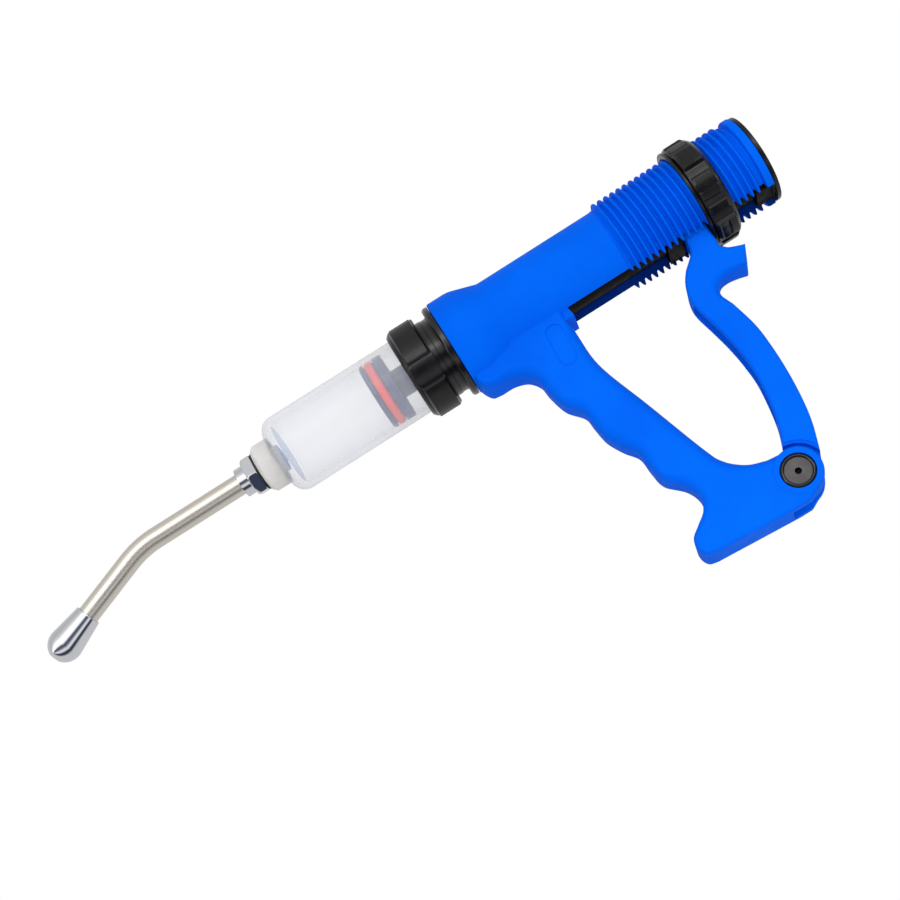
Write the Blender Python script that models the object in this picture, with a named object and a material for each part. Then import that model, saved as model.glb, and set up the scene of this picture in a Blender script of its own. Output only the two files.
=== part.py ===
"""Dosing syringe (drench gun) with a fixed handle, a squeeze lever and a screwed dose stop.

Squeezing the lever pushes the plunger carrier, the feed rod and the piston forward, and the dose
leaves through the outlet valve and the bent tube. The return spring brings them back, and the next
dose is drawn in through the hollow feed rod and the inlet valve in the piston.

Sizes are in millimetres and become metres as each mesh is made. In the gun's own frame X runs along
the barrel to the rear, Z points up, and the zero point lies on the barrel's axis at the front face
of the blue body. The part's origin is a point inside the handle, where the hand holds it.
"""

from math import acos, asin, cos, hypot, pi, radians, sin, sqrt, tan

import bmesh
import bpy
from mathutils import Matrix, Vector

MM = 0.001
GRIP_POINT = (47.4, 0.0, -78.0)

# Clearances
FACE_GAP = 0.3
BORE_GAP = 0.3
SLIDE_GAP = 0.4
THREAD_GAP = 0.4

# Facets round a full turn
LARGE_SIDES = 32
SMALL_SIDES = 20
THREAD_SIDES = 24

# Blue body and its thread
TUBE_R = 19.4
TUBE_BORE_R = 16.2
TUBE_REAR = 159.3
FLARE_R = 23.6
FLARE_REAR = 11.0
FLARE_TAPER_REAR = 24.5
THREAD_CREST_R = 22.0
THREAD_PITCH = 3.3
THREAD_FRONT = 85.0
THREAD_TURNS = 21
REAR_LAND = 4.0
SLOT_WIDTH = 19.0
SLOT_FRONT = 52.0

# Fixed handle, hinge and lever
HANDLE_WIDTH = 21.0
HANDLE_EDGE_R = 3.0
HINGE = (93.8, -136.4)
EAR_R = 10.8
EAR_GAP_WIDTH = 10.0
KNUCKLE_R = 10.4
PIN_R = 3.5
PIN_HEAD_R = 7.5
PIN_HEAD_THICK = 2.0
PIN_HEAD_PROUD = 0.5
LEVER_WIDTH = 16.0
LEVER_EDGE_R = 1.6
LEVER_WALL = 2.6
LEVER_SWING = radians(19.0)
DRIVE_HEAD = (118.5, 0.0)
DRIVE_HEAD_R = 6.0
FORK_GAP_WIDTH = 8.0

# Dose nut, stop ring and end cap
DOSE_FRONT = 124.8
DOSE_RING_THICK = 1.2
DOSE_NUT_LENGTH = 12.6
DOSE_NUT_R = 24.9
DOSE_LUG_R = 26.5
CAP_SKIRT_LENGTH = 19.0
CAP_RIM_THICK = 2.0
CAP_KEY_LENGTH = 9.5
CAP_WALL = 3.2
HOSE_HOLE_R = 8.5

# Front adapter, ring nut and barrel, each step counted outwards from the barrel's wall
FLANGE_STEP = 0.9
FLANGE_THICK = 3.4
NECK_THREAD_DEPTH = 0.9
SPIGOT_LENGTH = 9.6
ADAPTER_FRONT = -15.6
ADAPTER_WALL = 5.7
RING_NUT_FRONT = -23.4
RING_NUT_REAR = -9.0
RING_NUT_WALL = 2.2
RING_NUT_PAD_HEIGHT = 1.3
RING_NUT_PADS = 4
BARREL_R = 18.85
BARREL_WALL = 2.35
BARREL_FLANGE_STEP = 1.05
BARREL_FRONT = -94.5
SHOULDER_R = 7.0
HUB_R = 11.75
HUB_FRONT = -103.5
HUB_BORE_R = 6.5
GASKET_THICK = 1.1

# Outlet: hexagon nut, tube and tip
HEX_FLATS = 17.5
HEX_THICK = 5.4
COLLAR_R = 7.0
COLLAR_LENGTH = 4.5
TUBE_OUTER_R = 4.97
TUBE_WALL = 0.9
TUBE_SOCKET = 5.8
BEND_X = -169.0
BEND_ANGLE = radians(22.3)
BEND_RADIUS = 42.0
TIP_START = 38.3
TIP_LENGTH = 24.2
TIP_REAR_R = 6.0
TIP_FRONT_R = 8.0
TIP_HOLE_R = 2.2
TIP_SOCKET = 10.8

# Piston, feed rod and valves
PISTON_FRONT = -41.5
PISTON_LENGTH = 11.5
PISTON_HUB_REAR = -21.0
RING_SECTION_R = 2.15
ROD_R = 3.2
ROD_BORE_R = 1.9
ROD_REAR = 134.0
VALVE_CHAMBER_R = 3.6
OUTLET_BALL_R = 2.8
INLET_BALL_R = 2.6
CARRIER_FRONT = 38.0
CARRIER_R = 15.8
CARRIER_INNER_R = 13.4
DRIVE_BLOCK_LENGTH = 14.2
LOCK_POCKET_R = 9.5
LOCK_POCKET_DEPTH = 6.2
ROD_COLLAR_R = 6.0
ROD_COLLAR_THICK = 1.6
SPRING_MEAN_R = 11.5
SPRING_WIRE_R = 0.9
SPRING_TURNS = 12

# Points on the handle's outline, side view (x, z), from the flare down the finger grips
HANDLE_FRONT = [
    (1.2, -18.0), (0.4, -23.0), (2.8, -27.6), (7.5, -29.2), (14.3, -29.8), (20.2, -32.4),
    (23.8, -37.6), (24.6, -44.6), (27.1, -53.5), (32.6, -61.2), (33.4, -68.0), (34.5, -75.9),
    (38.2, -83.9), (42.6, -90.6), (43.2, -99.0), (44.7, -106.6), (51.6, -114.6), (54.1, -122.0),
    (51.8, -128.6), (46.4, -133.0), (42.0, -136.6),
]
FOOT_TOE = [(40.7, -141.4), (42.4, -145.4), (46.2, -146.8)]
FOOT_HEEL = [(86.0, -149.5), (93.0, -149.3)]
HANDLE_REAR = [
    (85.8, -124.6), (77.8, -121.2), (70.9, -114.2), (67.2, -105.6), (58.3, -74.6), (50.4, -47.0),
    (49.9, -27.2),
]

# Points on the squeeze lever's outline, side view
LEVER_FRONT = [
    (111.8, -24.6), (104.6, -32.0), (100.6, -38.6), (99.0, -46.6), (100.9, -58.1), (102.6, -68.7),
    (103.5, -80.2), (103.1, -92.7), (99.4, -111.4), (93.9, -125.2),
]
LEVER_REAR = [
    (106.9, -132.6), (111.2, -120.4), (113.8, -108.5), (115.6, -94.3), (116.3, -80.5),
    (115.9, -69.3), (113.3, -55.1), (112.2, -48.6), (114.6, -44.0), (119.6, -42.8), (128.9, -44.0),
]
HORN = [(133.2, -35.8), (126.4, -32.6)]

for leftover in list(bpy.data.objects):
    bpy.data.objects.remove(leftover, do_unlink=True)

gun_frame = bpy.data.objects.new("gun_frame", None)
gun_frame.location = -Vector(GRIP_POINT) * MM
bpy.context.scene.collection.objects.link(gun_frame)


def make_material(name, colour, roughness, metallic=0.0, transmission=0.0):
    """One Principled material from the photographed colour and finish."""
    material = bpy.data.materials.new(name)
    material.use_nodes = True
    shader = material.node_tree.nodes["Principled BSDF"]
    shader.inputs["Base Color"].default_value = (*colour, 1.0)
    shader.inputs["Roughness"].default_value = roughness
    shader.inputs["Metallic"].default_value = metallic
    shader.inputs["Transmission Weight"].default_value = transmission
    return material


BLUE_PLASTIC = make_material("blue_plastic", (0.0, 0.19, 0.83), 0.42)
BLACK_PLASTIC = make_material("black_plastic", (0.018, 0.018, 0.02), 0.38)
MILKY_PLASTIC = make_material("milky_plastic", (0.82, 0.84, 0.88), 0.3, transmission=0.6)
WHITE_PLASTIC = make_material("white_plastic", (0.75, 0.75, 0.73), 0.45)
RED_RUBBER = make_material("red_rubber", (0.75, 0.06, 0.04), 0.5)
BLACK_RUBBER = make_material("black_rubber", (0.012, 0.012, 0.012), 0.65)
CHROME = make_material("chrome", (0.85, 0.86, 0.88), 0.08, metallic=1.0)
NICKEL = make_material("nickel", (0.72, 0.67, 0.6), 0.22, metallic=1.0)
STEEL = make_material("steel", (0.6, 0.6, 0.62), 0.3, metallic=1.0)


def link(obj, origin, material):
    """Put an object into the gun's frame, with its own origin at the point given in millimetres."""
    obj.parent = gun_frame
    obj.location = Vector(origin) * MM
    if material is not None:
        obj.data.materials.append(material)
    bpy.context.scene.collection.objects.link(obj)
    return obj


def add_mesh(name, bm, material=None, origin=(0, 0, 0)):
    """Make an object of a mesh drawn in millimetres in the gun's frame."""
    bmesh.ops.translate(bm, verts=bm.verts, vec=-Vector(origin))
    bmesh.ops.scale(bm, verts=bm.verts, vec=(MM, MM, MM))
    bmesh.ops.recalc_face_normals(bm, faces=bm.faces)
    mesh = bpy.data.meshes.new(name)
    bm.to_mesh(mesh)
    bm.free()
    mesh.shade_smooth()
    mesh.set_sharp_from_angle(angle=radians(32))
    return link(bpy.data.objects.new(name, mesh), origin, material)


def combine(obj, tool, operation):
    """Cut, join or intersect an object with a tool, which stays in the file as a hidden guide."""
    modifier = obj.modifiers.new(operation.title(), "BOOLEAN")
    modifier.operation = operation
    modifier.solver = "EXACT"
    modifier.object = tool
    tool.hide_render = True
    tool.display_type = "WIRE"


def arc(centre, radius, start, end, steps):
    """Points round part of a circle, angles in degrees from the first axis towards the second."""
    turns = [radians(start + (end - start) * i / steps) for i in range(steps + 1)]
    return [(centre[0] + radius * cos(a), centre[1] + radius * sin(a)) for a in turns]


def smooth(points, steps):
    """A Catmull-Rom curve through the points, with the given steps in each span."""
    padded = [points[0], *points, points[-1]]
    curve = []
    for a, b, c, d in zip(padded, padded[1:], padded[2:], padded[3:]):
        for i in range(steps):
            t = i / steps
            weights = (
                (2 - t) * t * t - t, (3 * t - 5) * t * t + 2, (4 - 3 * t) * t * t + t, (t - 1) * t * t,
            )
            curve.append(tuple(
                sum(w * p[axis] for w, p in zip(weights, (a, b, c, d))) / 2 for axis in (0, 1)
            ))
    return curve + [points[-1]]


def turned(profile, sides=LARGE_SIDES, place=None):
    """A solid turned about X. The profile lists (x, radius) round its section."""
    bm = bmesh.new()
    verts = [bm.verts.new((x, 0, radius)) for x, radius in profile]
    follow = verts[1:] + verts[:1] if min(radius for _, radius in profile) > 0 else verts[1:]
    edges = [bm.edges.new(pair) for pair in zip(verts, follow)]
    bmesh.ops.spin(
        bm, geom=verts + edges, cent=(0, 0, 0), axis=(1, 0, 0), angle=2 * pi, steps=sides,
        use_merge=True,
    )
    bmesh.ops.remove_doubles(bm, verts=bm.verts, dist=1e-4)
    if place is not None:
        bmesh.ops.transform(bm, matrix=place, verts=bm.verts)
    return bm


def extruded(outline, half_width, edge_radius=0.0, centre_y=0.0):
    """A side-view outline (x, z) given a width along Y, with its two rims rounded."""
    bm = bmesh.new()
    verts = [bm.verts.new((x, centre_y - half_width, z)) for x, z in outline]
    face = bm.faces.new(verts)
    made = bmesh.ops.extrude_face_region(bm, geom=[face])
    moved = [item for item in made["geom"] if isinstance(item, bmesh.types.BMVert)]
    bmesh.ops.translate(bm, verts=moved, vec=(0, 2 * half_width, 0))
    if edge_radius > 0:
        rims = [e for e in bm.edges if abs(e.verts[0].co.y - e.verts[1].co.y) < 1e-6]
        bmesh.ops.bevel(
            bm, geom=rims, offset=edge_radius, offset_type="OFFSET", segments=2, profile=0.5,
            affect="EDGES", clamp_overlap=False,
        )
    return bm


def arc_block(front, rear, inner_r, outer_r, middle, spread, steps):
    """A block bent round the barrel's axis. Its angles start at the camera side, towards the handle."""
    angles = [radians(middle - spread / 2 + spread * i / steps) for i in range(steps + 1)]
    ring = [(outer_r, a) for a in angles] + [(inner_r, a) for a in reversed(angles)]
    bm = bmesh.new()
    verts = [bm.verts.new((front, -r * cos(a), -r * sin(a))) for r, a in ring]
    made = bmesh.ops.extrude_face_region(bm, geom=[bm.faces.new(verts)])
    moved = [item for item in made["geom"] if isinstance(item, bmesh.types.BMVert)]
    bmesh.ops.translate(bm, verts=moved, vec=(rear - front, 0, 0))
    return bm


def box(front, rear, half_width, low, high):
    """A plain block across the mid-plane."""
    return extruded([(front, low), (rear, low), (rear, high), (front, high)], half_width)


def joined(parts):
    """Several closed meshes in one, for a tool with more than one body."""
    bm = bmesh.new()
    for part in parts:
        mesh = bpy.data.meshes.new("joined")
        part.to_mesh(mesh)
        part.free()
        bm.from_mesh(mesh)
        bpy.data.meshes.remove(mesh)
    return bm


def pipe(name, points, radius, sides, material=None, origin=(0, 0, 0)):
    """A round bar along a path in millimetres, with closed ends."""
    curve = bpy.data.curves.new(name, "CURVE")
    curve.dimensions = "3D"
    curve.bevel_depth = radius * MM
    curve.bevel_resolution = (sides - 4) // 2
    curve.use_fill_caps = True
    spline = curve.splines.new("POLY")
    spline.points.add(len(points) - 1)
    for spot, point in zip(spline.points, points):
        spot.co = (*((Vector(point) - Vector(origin)) * MM), 1.0)
    return link(bpy.data.objects.new(name, curve), origin, material)


def coil_spring(name, front, rear, mean_r, wire_r, turns, origin=(0, 0, 0)):
    """A compression spring wound about the barrel's axis, with its least gap between turns printed."""
    steps = 8 * turns
    points = []
    for i in range(steps + 1):
        angle = 2 * pi * turns * i / steps
        x = front + (rear - front) * i / steps
        points.append(Vector((x, mean_r * cos(angle), mean_r * sin(angle))))
    gaps = [
        (points[i] - points[j]).length - 2 * wire_r
        for i in range(steps + 1) for j in range(i + 4, min(i + 13, steps + 1))
    ]
    print(f"{name}: least gap between turns {min(gaps):.2f} mm")
    return pipe(name, points, wire_r, 6, STEEL, origin)


# Blue body: tube, flare, thread, handle and hinge ears

def threaded_tube():
    """The solid outside of the tube: flare, cone, right-hand thread and plain land at the rear."""
    thread_rear = THREAD_FRONT + THREAD_TURNS * THREAD_PITCH
    land_front = TUBE_REAR - REAR_LAND
    before = [
        (0.0, FLARE_R - 0.6), (0.6, FLARE_R), (FLARE_REAR, FLARE_R), (FLARE_TAPER_REAR, TUBE_R),
        (THREAD_FRONT, TUBE_R),
    ]
    after = [
        (thread_rear, TUBE_R), (land_front, THREAD_CREST_R), (TUBE_REAR, THREAD_CREST_R),
    ]
    ridge = [(0.0, TUBE_R), (0.6, TUBE_R), (1.95, THREAD_CREST_R)]
    bm = bmesh.new()
    columns = []
    for k in range(THREAD_SIDES + 1):
        thread = []
        for turn in range(-1, THREAD_TURNS + 1):
            for offset, radius in ridge:
                x = THREAD_FRONT + THREAD_PITCH * (turn + k / THREAD_SIDES) + offset
                inside = THREAD_FRONT < x < thread_rear
                thread.append((min(max(x, THREAD_FRONT), thread_rear), radius if inside else TUBE_R))
        angle = 2 * pi * (k % THREAD_SIDES) / THREAD_SIDES
        columns.append([
            bm.verts.new((x, r * cos(angle), r * sin(angle))) for x, r in before + thread + after
        ])
    for near, far in zip(columns, columns[1:]):
        for j in range(len(near) - 1):
            bm.faces.new((near[j], near[j + 1], far[j + 1], far[j]))
    for row in (0, -1):
        bm.faces.new([column[row] for column in columns[:-1]])
    bmesh.ops.remove_doubles(bm, verts=bm.verts, dist=1e-3)
    bmesh.ops.dissolve_degenerate(bm, edges=bm.edges, dist=1e-4)
    return bm


def handle_outline():
    """The fixed handle with its finger grips, foot and hinge ear, as one closed outline."""
    foot = smooth([HANDLE_FRONT[-1], *FOOT_TOE], 2)[1:]
    ear = arc(HINGE, EAR_R, 305, 445, 12)
    inside_bore = [(HANDLE_REAR[-1][0], -9.0), (HANDLE_FRONT[0][0], -9.0)]
    rear = smooth(HANDLE_REAR, 2)
    return smooth(HANDLE_FRONT, 2) + foot + FOOT_HEEL + ear + rear + inside_bore


def build_body_handle():
    body = add_mesh("body_handle", threaded_tube(), BLUE_PLASTIC)
    handle = extruded(handle_outline(), HANDLE_WIDTH / 2, HANDLE_EDGE_R)
    combine(body, add_mesh("handle_shape", handle), "UNION")
    end_block = box(SLOT_FRONT - 10.0, SLOT_FRONT + 4.0, SLOT_WIDTH / 2 - 1.0, -25.4, -9.0)
    combine(body, add_mesh("end_block", end_block), "UNION")
    bore_profile = [
        (-5.0, 0.0), (-5.0, NECK_R + BORE_GAP), (SPIGOT_LENGTH + FACE_GAP, NECK_R + BORE_GAP),
        (SPIGOT_LENGTH + FACE_GAP, TUBE_BORE_R), (TUBE_REAR + 5.0, TUBE_BORE_R),
        (TUBE_REAR + 5.0, 0.0),
    ]
    combine(body, add_mesh("bore_cutter", turned(bore_profile, THREAD_SIDES)), "DIFFERENCE")
    slot_outline = [
        (SLOT_FRONT - 1.2, -5.0), (SLOT_FRONT + 2.4, -28.0), (TUBE_REAR + 5.0, -28.0),
        (TUBE_REAR + 5.0, -5.0),
    ]
    slot = extruded(slot_outline, SLOT_WIDTH / 2)
    combine(body, add_mesh("slot_cutter", slot), "DIFFERENCE")
    ear_slot_front = HINGE[0] - KNUCKLE_R - SLIDE_GAP
    ear_slot = box(ear_slot_front, HINGE[0] + 20.0, EAR_GAP_WIDTH / 2, HINGE[1] - 20.0, -118.0)
    combine(body, add_mesh("ear_slot_cutter", ear_slot), "DIFFERENCE")
    combine(body, add_mesh("pin_hole_cutter", pin_cutter()), "DIFFERENCE")
    return body


def across_hinge():
    """Turns the X axis of a turned shape onto Y, through the hinge's centre."""
    return Matrix.Translation((HINGE[0], 0.0, HINGE[1])) @ Matrix.Rotation(pi / 2, 4, "Z")


def pin_cutter():
    """The pin's hole through both ears, with a shallow seat for the head and for the cap."""
    half = HANDLE_WIDTH / 2
    seat = half + PIN_HEAD_PROUD - PIN_HEAD_THICK - FACE_GAP
    hole_r = PIN_R + BORE_GAP
    seat_r = PIN_HEAD_R + FACE_GAP
    profile = [
        (-half - 5.0, 0.0), (-half - 5.0, seat_r), (-seat, seat_r), (-seat, hole_r),
        (seat, hole_r), (seat, seat_r), (half + 5.0, seat_r), (half + 5.0, 0.0),
    ]
    return turned(profile, SMALL_SIDES, across_hinge())


def build_hinge_pin():
    """The pin with its wide dished head on the near side, and the cap pressed on its far end."""
    half = HANDLE_WIDTH / 2
    face = half + PIN_HEAD_PROUD
    under = face - PIN_HEAD_THICK
    dimple_r = 1.8
    pin_profile = [
        (-face + 1.2, 0.0), (-face + 1.2, dimple_r), (-face, dimple_r), (-face, PIN_HEAD_R - 0.8),
        (-face + 0.8, PIN_HEAD_R), (-under, PIN_HEAD_R), (-under, PIN_R), (under - 0.2, PIN_R),
        (under - 0.2, 0.0),
    ]
    origin = (HINGE[0], 0.0, HINGE[1])
    add_mesh("hinge_pin", turned(pin_profile, SMALL_SIDES, across_hinge()), BLACK_PLASTIC, origin)
    cap_profile = [
        (under + 0.1, 0.0), (under + 0.1, PIN_HEAD_R), (face - 0.8, PIN_HEAD_R),
        (face, PIN_HEAD_R - 0.8), (face, 0.0),
    ]
    add_mesh("hinge_cap", turned(cap_profile, SMALL_SIDES, across_hinge()), BLACK_PLASTIC, origin)


# Squeeze lever

def lever_outline():
    """The lever from its drive head down to the knuckle on the hinge pin."""
    knuckle = arc(HINGE, KNUCKLE_R, 100, 345, 12)
    head = arc(DRIVE_HEAD, DRIVE_HEAD_R, 10, 190, 8)
    neck_rear = DOSE_FRONT - FACE_GAP - 0.2
    top = [(neck_rear - 0.6, -29.5), (neck_rear, -27.0), (neck_rear, -8.0)]
    throat = [(113.4, -14.0)]
    return (
        smooth(LEVER_FRONT, 1) + knuckle + smooth(LEVER_REAR, 1) + HORN + top + head + throat
    )


def lever_channel():
    """The hollow that opens to the front, between the lever's two side walls."""
    depth = 7.5
    front = [(x - 6.0, z) for x, z in LEVER_FRONT[4:9]]
    rear = [(x + depth, z) for x, z in reversed(LEVER_FRONT[4:9])]
    return extruded(front + rear, LEVER_WIDTH / 2 - LEVER_WALL)


def build_lever():
    origin = (HINGE[0], 0.0, HINGE[1])
    half = LEVER_WIDTH / 2
    shape = extruded(lever_outline(), half, LEVER_EDGE_R)
    lever = add_mesh("lever", shape, BLUE_PLASTIC, origin)
    combine(lever, add_mesh("channel_cutter", lever_channel(), None, origin), "DIFFERENCE")
    knuckle_half = EAR_GAP_WIDTH / 2 - BORE_GAP
    clear_r = EAR_R + 3 * SLIDE_GAP
    relief = []
    for side in (-1, 1):
        inner = side * knuckle_half
        outer = side * (half + 3.0)
        profile = [(inner, 0.0), (inner, clear_r), (outer, clear_r), (outer, 0.0)]
        relief.append(turned(profile, LARGE_SIDES, across_hinge()))
    combine(lever, add_mesh("ear_relief_cutter", joined(relief), None, origin), "DIFFERENCE")
    hole_r = PIN_R + SLIDE_GAP
    hole_profile = [(-half, 0.0), (-half, hole_r), (half, hole_r), (half, 0.0)]
    hole = turned(hole_profile, SMALL_SIDES, across_hinge())
    combine(lever, add_mesh("knuckle_hole_cutter", hole, None, origin), "DIFFERENCE")
    fork = box(DRIVE_HEAD[0] - 12.0, DRIVE_HEAD[0] + 12.0, FORK_GAP_WIDTH / 2, -9.0, 20.0)
    combine(lever, add_mesh("fork_cutter", fork, None, origin), "DIFFERENCE")
    return lever


# Dose nut and end cap on the body's rear

def build_dose_nut():
    """The dose nut with its wide lugs and narrow ribs, and the plain ring in front of it."""
    bore_r = THREAD_CREST_R + THREAD_GAP
    ring_rear = DOSE_FRONT + DOSE_RING_THICK
    ring_profile = [
        (DOSE_FRONT, bore_r), (DOSE_FRONT, DOSE_NUT_R - 0.6), (DOSE_FRONT + 0.5, DOSE_NUT_R),
        (ring_rear, DOSE_NUT_R), (ring_rear, bore_r),
    ]
    add_mesh("dose_stop_ring", turned(ring_profile), BLACK_PLASTIC)
    front = ring_rear + FACE_GAP
    rear = front + DOSE_NUT_LENGTH
    nut_profile = [
        (front, bore_r), (front, DOSE_NUT_R - 0.8), (front + 0.8, DOSE_NUT_R),
        (rear - 2.0, DOSE_NUT_R), (rear, DOSE_NUT_R - 1.6), (rear, bore_r),
    ]
    nut = add_mesh("dose_nut", turned(nut_profile), BLACK_PLASTIC)
    sunk_r = DOSE_NUT_R - 0.8
    grips = []
    for quarter in range(4):
        lug_angle = 75 + 90 * quarter
        grips.append(arc_block(front + 1.0, rear - 1.6, sunk_r, DOSE_LUG_R, lug_angle, 24, 3))
        for rib in (-1, 0, 1):
            rib_angle = lug_angle + 45 + 17 * rib
            grips.append(arc_block(
                front + 1.4, rear - 2.4, sunk_r, DOSE_NUT_R + 0.8, rib_angle, 9, 1,
            ))
    combine(nut, add_mesh("dose_nut_grips", joined(grips)), "UNION")


def build_end_cap():
    """The cap in the tube's rear, with a key that fills the end of the slot."""
    rim_front = TUBE_REAR + FACE_GAP
    rear = rim_front + CAP_RIM_THICK
    rim_r = THREAD_CREST_R - 0.5
    skirt_r = TUBE_BORE_R - BORE_GAP
    skirt_front = TUBE_REAR - CAP_SKIRT_LENGTH
    profile = [
        (skirt_front, skirt_r), (rim_front, skirt_r), (rim_front, rim_r), (rear - 0.5, rim_r),
        (rear, rim_r - 0.5), (rear, HOSE_HOLE_R), (rim_front - 2.5, HOSE_HOLE_R),
        (rim_front - 2.5, skirt_r - CAP_WALL), (skirt_front, skirt_r - CAP_WALL),
    ]
    cap = add_mesh("end_cap", turned(profile), BLACK_PLASTIC)
    key_half = SLOT_WIDTH / 2 - BORE_GAP
    key_floor = -sqrt((THREAD_CREST_R - 0.2) ** 2 - key_half ** 2)
    key_top = -skirt_r + CAP_WALL - 0.2
    key = box(TUBE_REAR - CAP_KEY_LENGTH, rim_front + 0.5, key_half, key_floor, key_top)
    combine(cap, add_mesh("end_cap_key", key), "UNION")


# Front adapter, ring nut, gasket and barrel

def build_front_adapter():
    wall_rear = ADAPTER_FRONT + ADAPTER_WALL
    ridges = []
    for i in range(2):
        x = ADAPTER_FRONT + 1.0 + 2.4 * i
        ridges += [(x + 1.0, NECK_THREAD_R), (x + 2.0, NECK_THREAD_R - 0.8)]
    flange_front = -FLANGE_THICK
    rear_face = -FACE_GAP
    profile = [
        (ADAPTER_FRONT, GUIDE_HOLE_R), (ADAPTER_FRONT, NECK_THREAD_R - 0.8), *ridges,
        (RING_NUT_REAR, NECK_R), (flange_front, NECK_R), (flange_front, FLANGE_R - 1.0),
        (flange_front + 1.0, FLANGE_R), (rear_face, FLANGE_R), (rear_face, NECK_R),
        (SPIGOT_LENGTH, NECK_R), (SPIGOT_LENGTH, TUBE_BORE_R), (wall_rear, TUBE_BORE_R),
        (wall_rear, GUIDE_HOLE_R),
    ]
    add_mesh("front_adapter", turned(profile), BLACK_PLASTIC)


def build_rod_guide():
    """The bush round the feed rod, and the washer that the return spring stands on."""
    wall_rear = ADAPTER_FRONT + ADAPTER_WALL
    bush_r = GUIDE_HOLE_R - BORE_GAP
    rod_hole_r = ROD_R + BORE_GAP
    flange_front = wall_rear + FACE_GAP
    flange_rear = flange_front + 1.4
    profile = [
        (ADAPTER_FRONT + 0.4, rod_hole_r), (ADAPTER_FRONT + 0.4, bush_r), (flange_front, bush_r),
        (flange_front, 8.0), (flange_rear, 8.0), (flange_rear, rod_hole_r),
    ]
    add_mesh("rod_guide", turned(profile, SMALL_SIDES), WHITE_PLASTIC)
    washer_front = flange_rear + FACE_GAP
    washer_r = CARRIER_INNER_R - SLIDE_GAP
    washer_profile = [
        (washer_front, 5.0), (washer_front, washer_r), (washer_front + 1.0, washer_r),
        (washer_front + 1.0, 5.0),
    ]
    add_mesh("spring_washer", turned(washer_profile, SMALL_SIDES), STEEL)
    return washer_front + 1.0


def build_barrel_nut():
    lip_rear = BARREL_FLANGE_FRONT - FACE_GAP
    thread_bore_r = NECK_THREAD_R + BORE_GAP
    profile = [
        (RING_NUT_FRONT, BARREL_R + BORE_GAP), (RING_NUT_FRONT, RING_NUT_R - 1.8),
        (RING_NUT_FRONT + 1.8, RING_NUT_R), (RING_NUT_REAR - 0.6, RING_NUT_R),
        (RING_NUT_REAR, RING_NUT_R - 0.6), (RING_NUT_REAR, thread_bore_r),
        (lip_rear, thread_bore_r), (lip_rear, BARREL_R + BORE_GAP),
    ]
    nut = add_mesh("barrel_nut", turned(profile), BLACK_PLASTIC)
    pads = []
    for i in range(RING_NUT_PADS):
        middle = -16 + 360 * i / RING_NUT_PADS
        pads.append(arc_block(
            RING_NUT_FRONT + 2.2, RING_NUT_REAR - 0.9, RING_NUT_R - 0.8, RING_NUT_PAD_R, middle,
            56, 5,
        ))
    combine(nut, add_mesh("barrel_nut_pads", joined(pads)), "UNION")


def build_barrel():
    """The clear barrel, with a rear flange for the ring nut and a hub for the outlet valve."""
    bore_r = BARREL_R - BARREL_WALL
    wall_front = BARREL_FRONT
    shoulder = arc((wall_front + SHOULDER_R, BARREL_R - SHOULDER_R), SHOULDER_R, 90, 180, 4)
    profile = [
        (BARREL_REAR, BARREL_FLANGE_R), (BARREL_FLANGE_FRONT, BARREL_FLANGE_R),
        (BARREL_FLANGE_FRONT, BARREL_R), *shoulder, (wall_front, HUB_R), (HUB_FRONT + 1.9, HUB_R),
        (HUB_FRONT, HUB_R - 1.9), (HUB_FRONT, HUB_BORE_R), (VALVE_FLOOR, HUB_BORE_R),
        (VALVE_FLOOR, 2.6), (BARREL_FLOOR, 2.6), (BARREL_FLOOR, bore_r - 1.5),
        (BARREL_FLOOR + 1.5, bore_r), (BARREL_REAR, bore_r),
    ]
    add_mesh("barrel", turned(profile), MILKY_PLASTIC)
    gasket_front = BARREL_REAR + FACE_GAP
    gasket_profile = [
        (gasket_front, bore_r + 0.3), (gasket_front, BARREL_FLANGE_R - 0.2),
        (gasket_front + GASKET_THICK, BARREL_FLANGE_R - 0.2),
        (gasket_front + GASKET_THICK, bore_r + 0.3),
    ]
    add_mesh("barrel_gasket", turned(gasket_profile), BLACK_RUBBER)


# Outlet: valve, hexagon nut, bent tube and tip

def build_outlet_valve():
    """The seat pressed into the hub, the ball on its cone and the spring in front of the ball."""
    seat_r = HUB_BORE_R - BORE_GAP
    hole_r = 1.9
    cone_r = 2.6
    cone_front = SEAT_FRONT + cone_r - hole_r
    profile = [
        (SEAT_FRONT, cone_r), (SEAT_FRONT, seat_r), (VALVE_FLOOR - FACE_GAP, seat_r),
        (VALVE_FLOOR - FACE_GAP, hole_r), (cone_front, hole_r),
    ]
    add_mesh("outlet_valve_seat", turned(profile, SMALL_SIDES), WHITE_PLASTIC)
    ball_x = cone_front + hole_r - sqrt(2) * (OUTLET_BALL_R + 0.25)
    ball_profile = arc((ball_x, 0.0), OUTLET_BALL_R, 0, 180, 8)
    ball = turned(clean_poles(ball_profile), 16)
    add_mesh("outlet_valve_ball", ball, STEEL, (ball_x, 0, 0))
    coil_rear = spring_start(ball_x, OUTLET_BALL_R, 2.0, 0.3)
    coil_front = HEX_REAR - CHAMBER_DEPTH + 0.6
    coil_spring("outlet_valve_spring", coil_front, coil_rear, 2.0, 0.3, 5)


def clean_poles(profile):
    """The same profile with both ends exactly on the axis."""
    return [(profile[0][0], 0.0), *profile[1:-1], (profile[-1][0], 0.0)]


def spring_start(ball_x, ball_r, mean_r, wire_r):
    """Where a spring's first turn lies in front of the ball it pushes on."""
    reach = ball_r + wire_r + 0.2
    return ball_x - sqrt(reach * reach - mean_r * mean_r)


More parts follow.
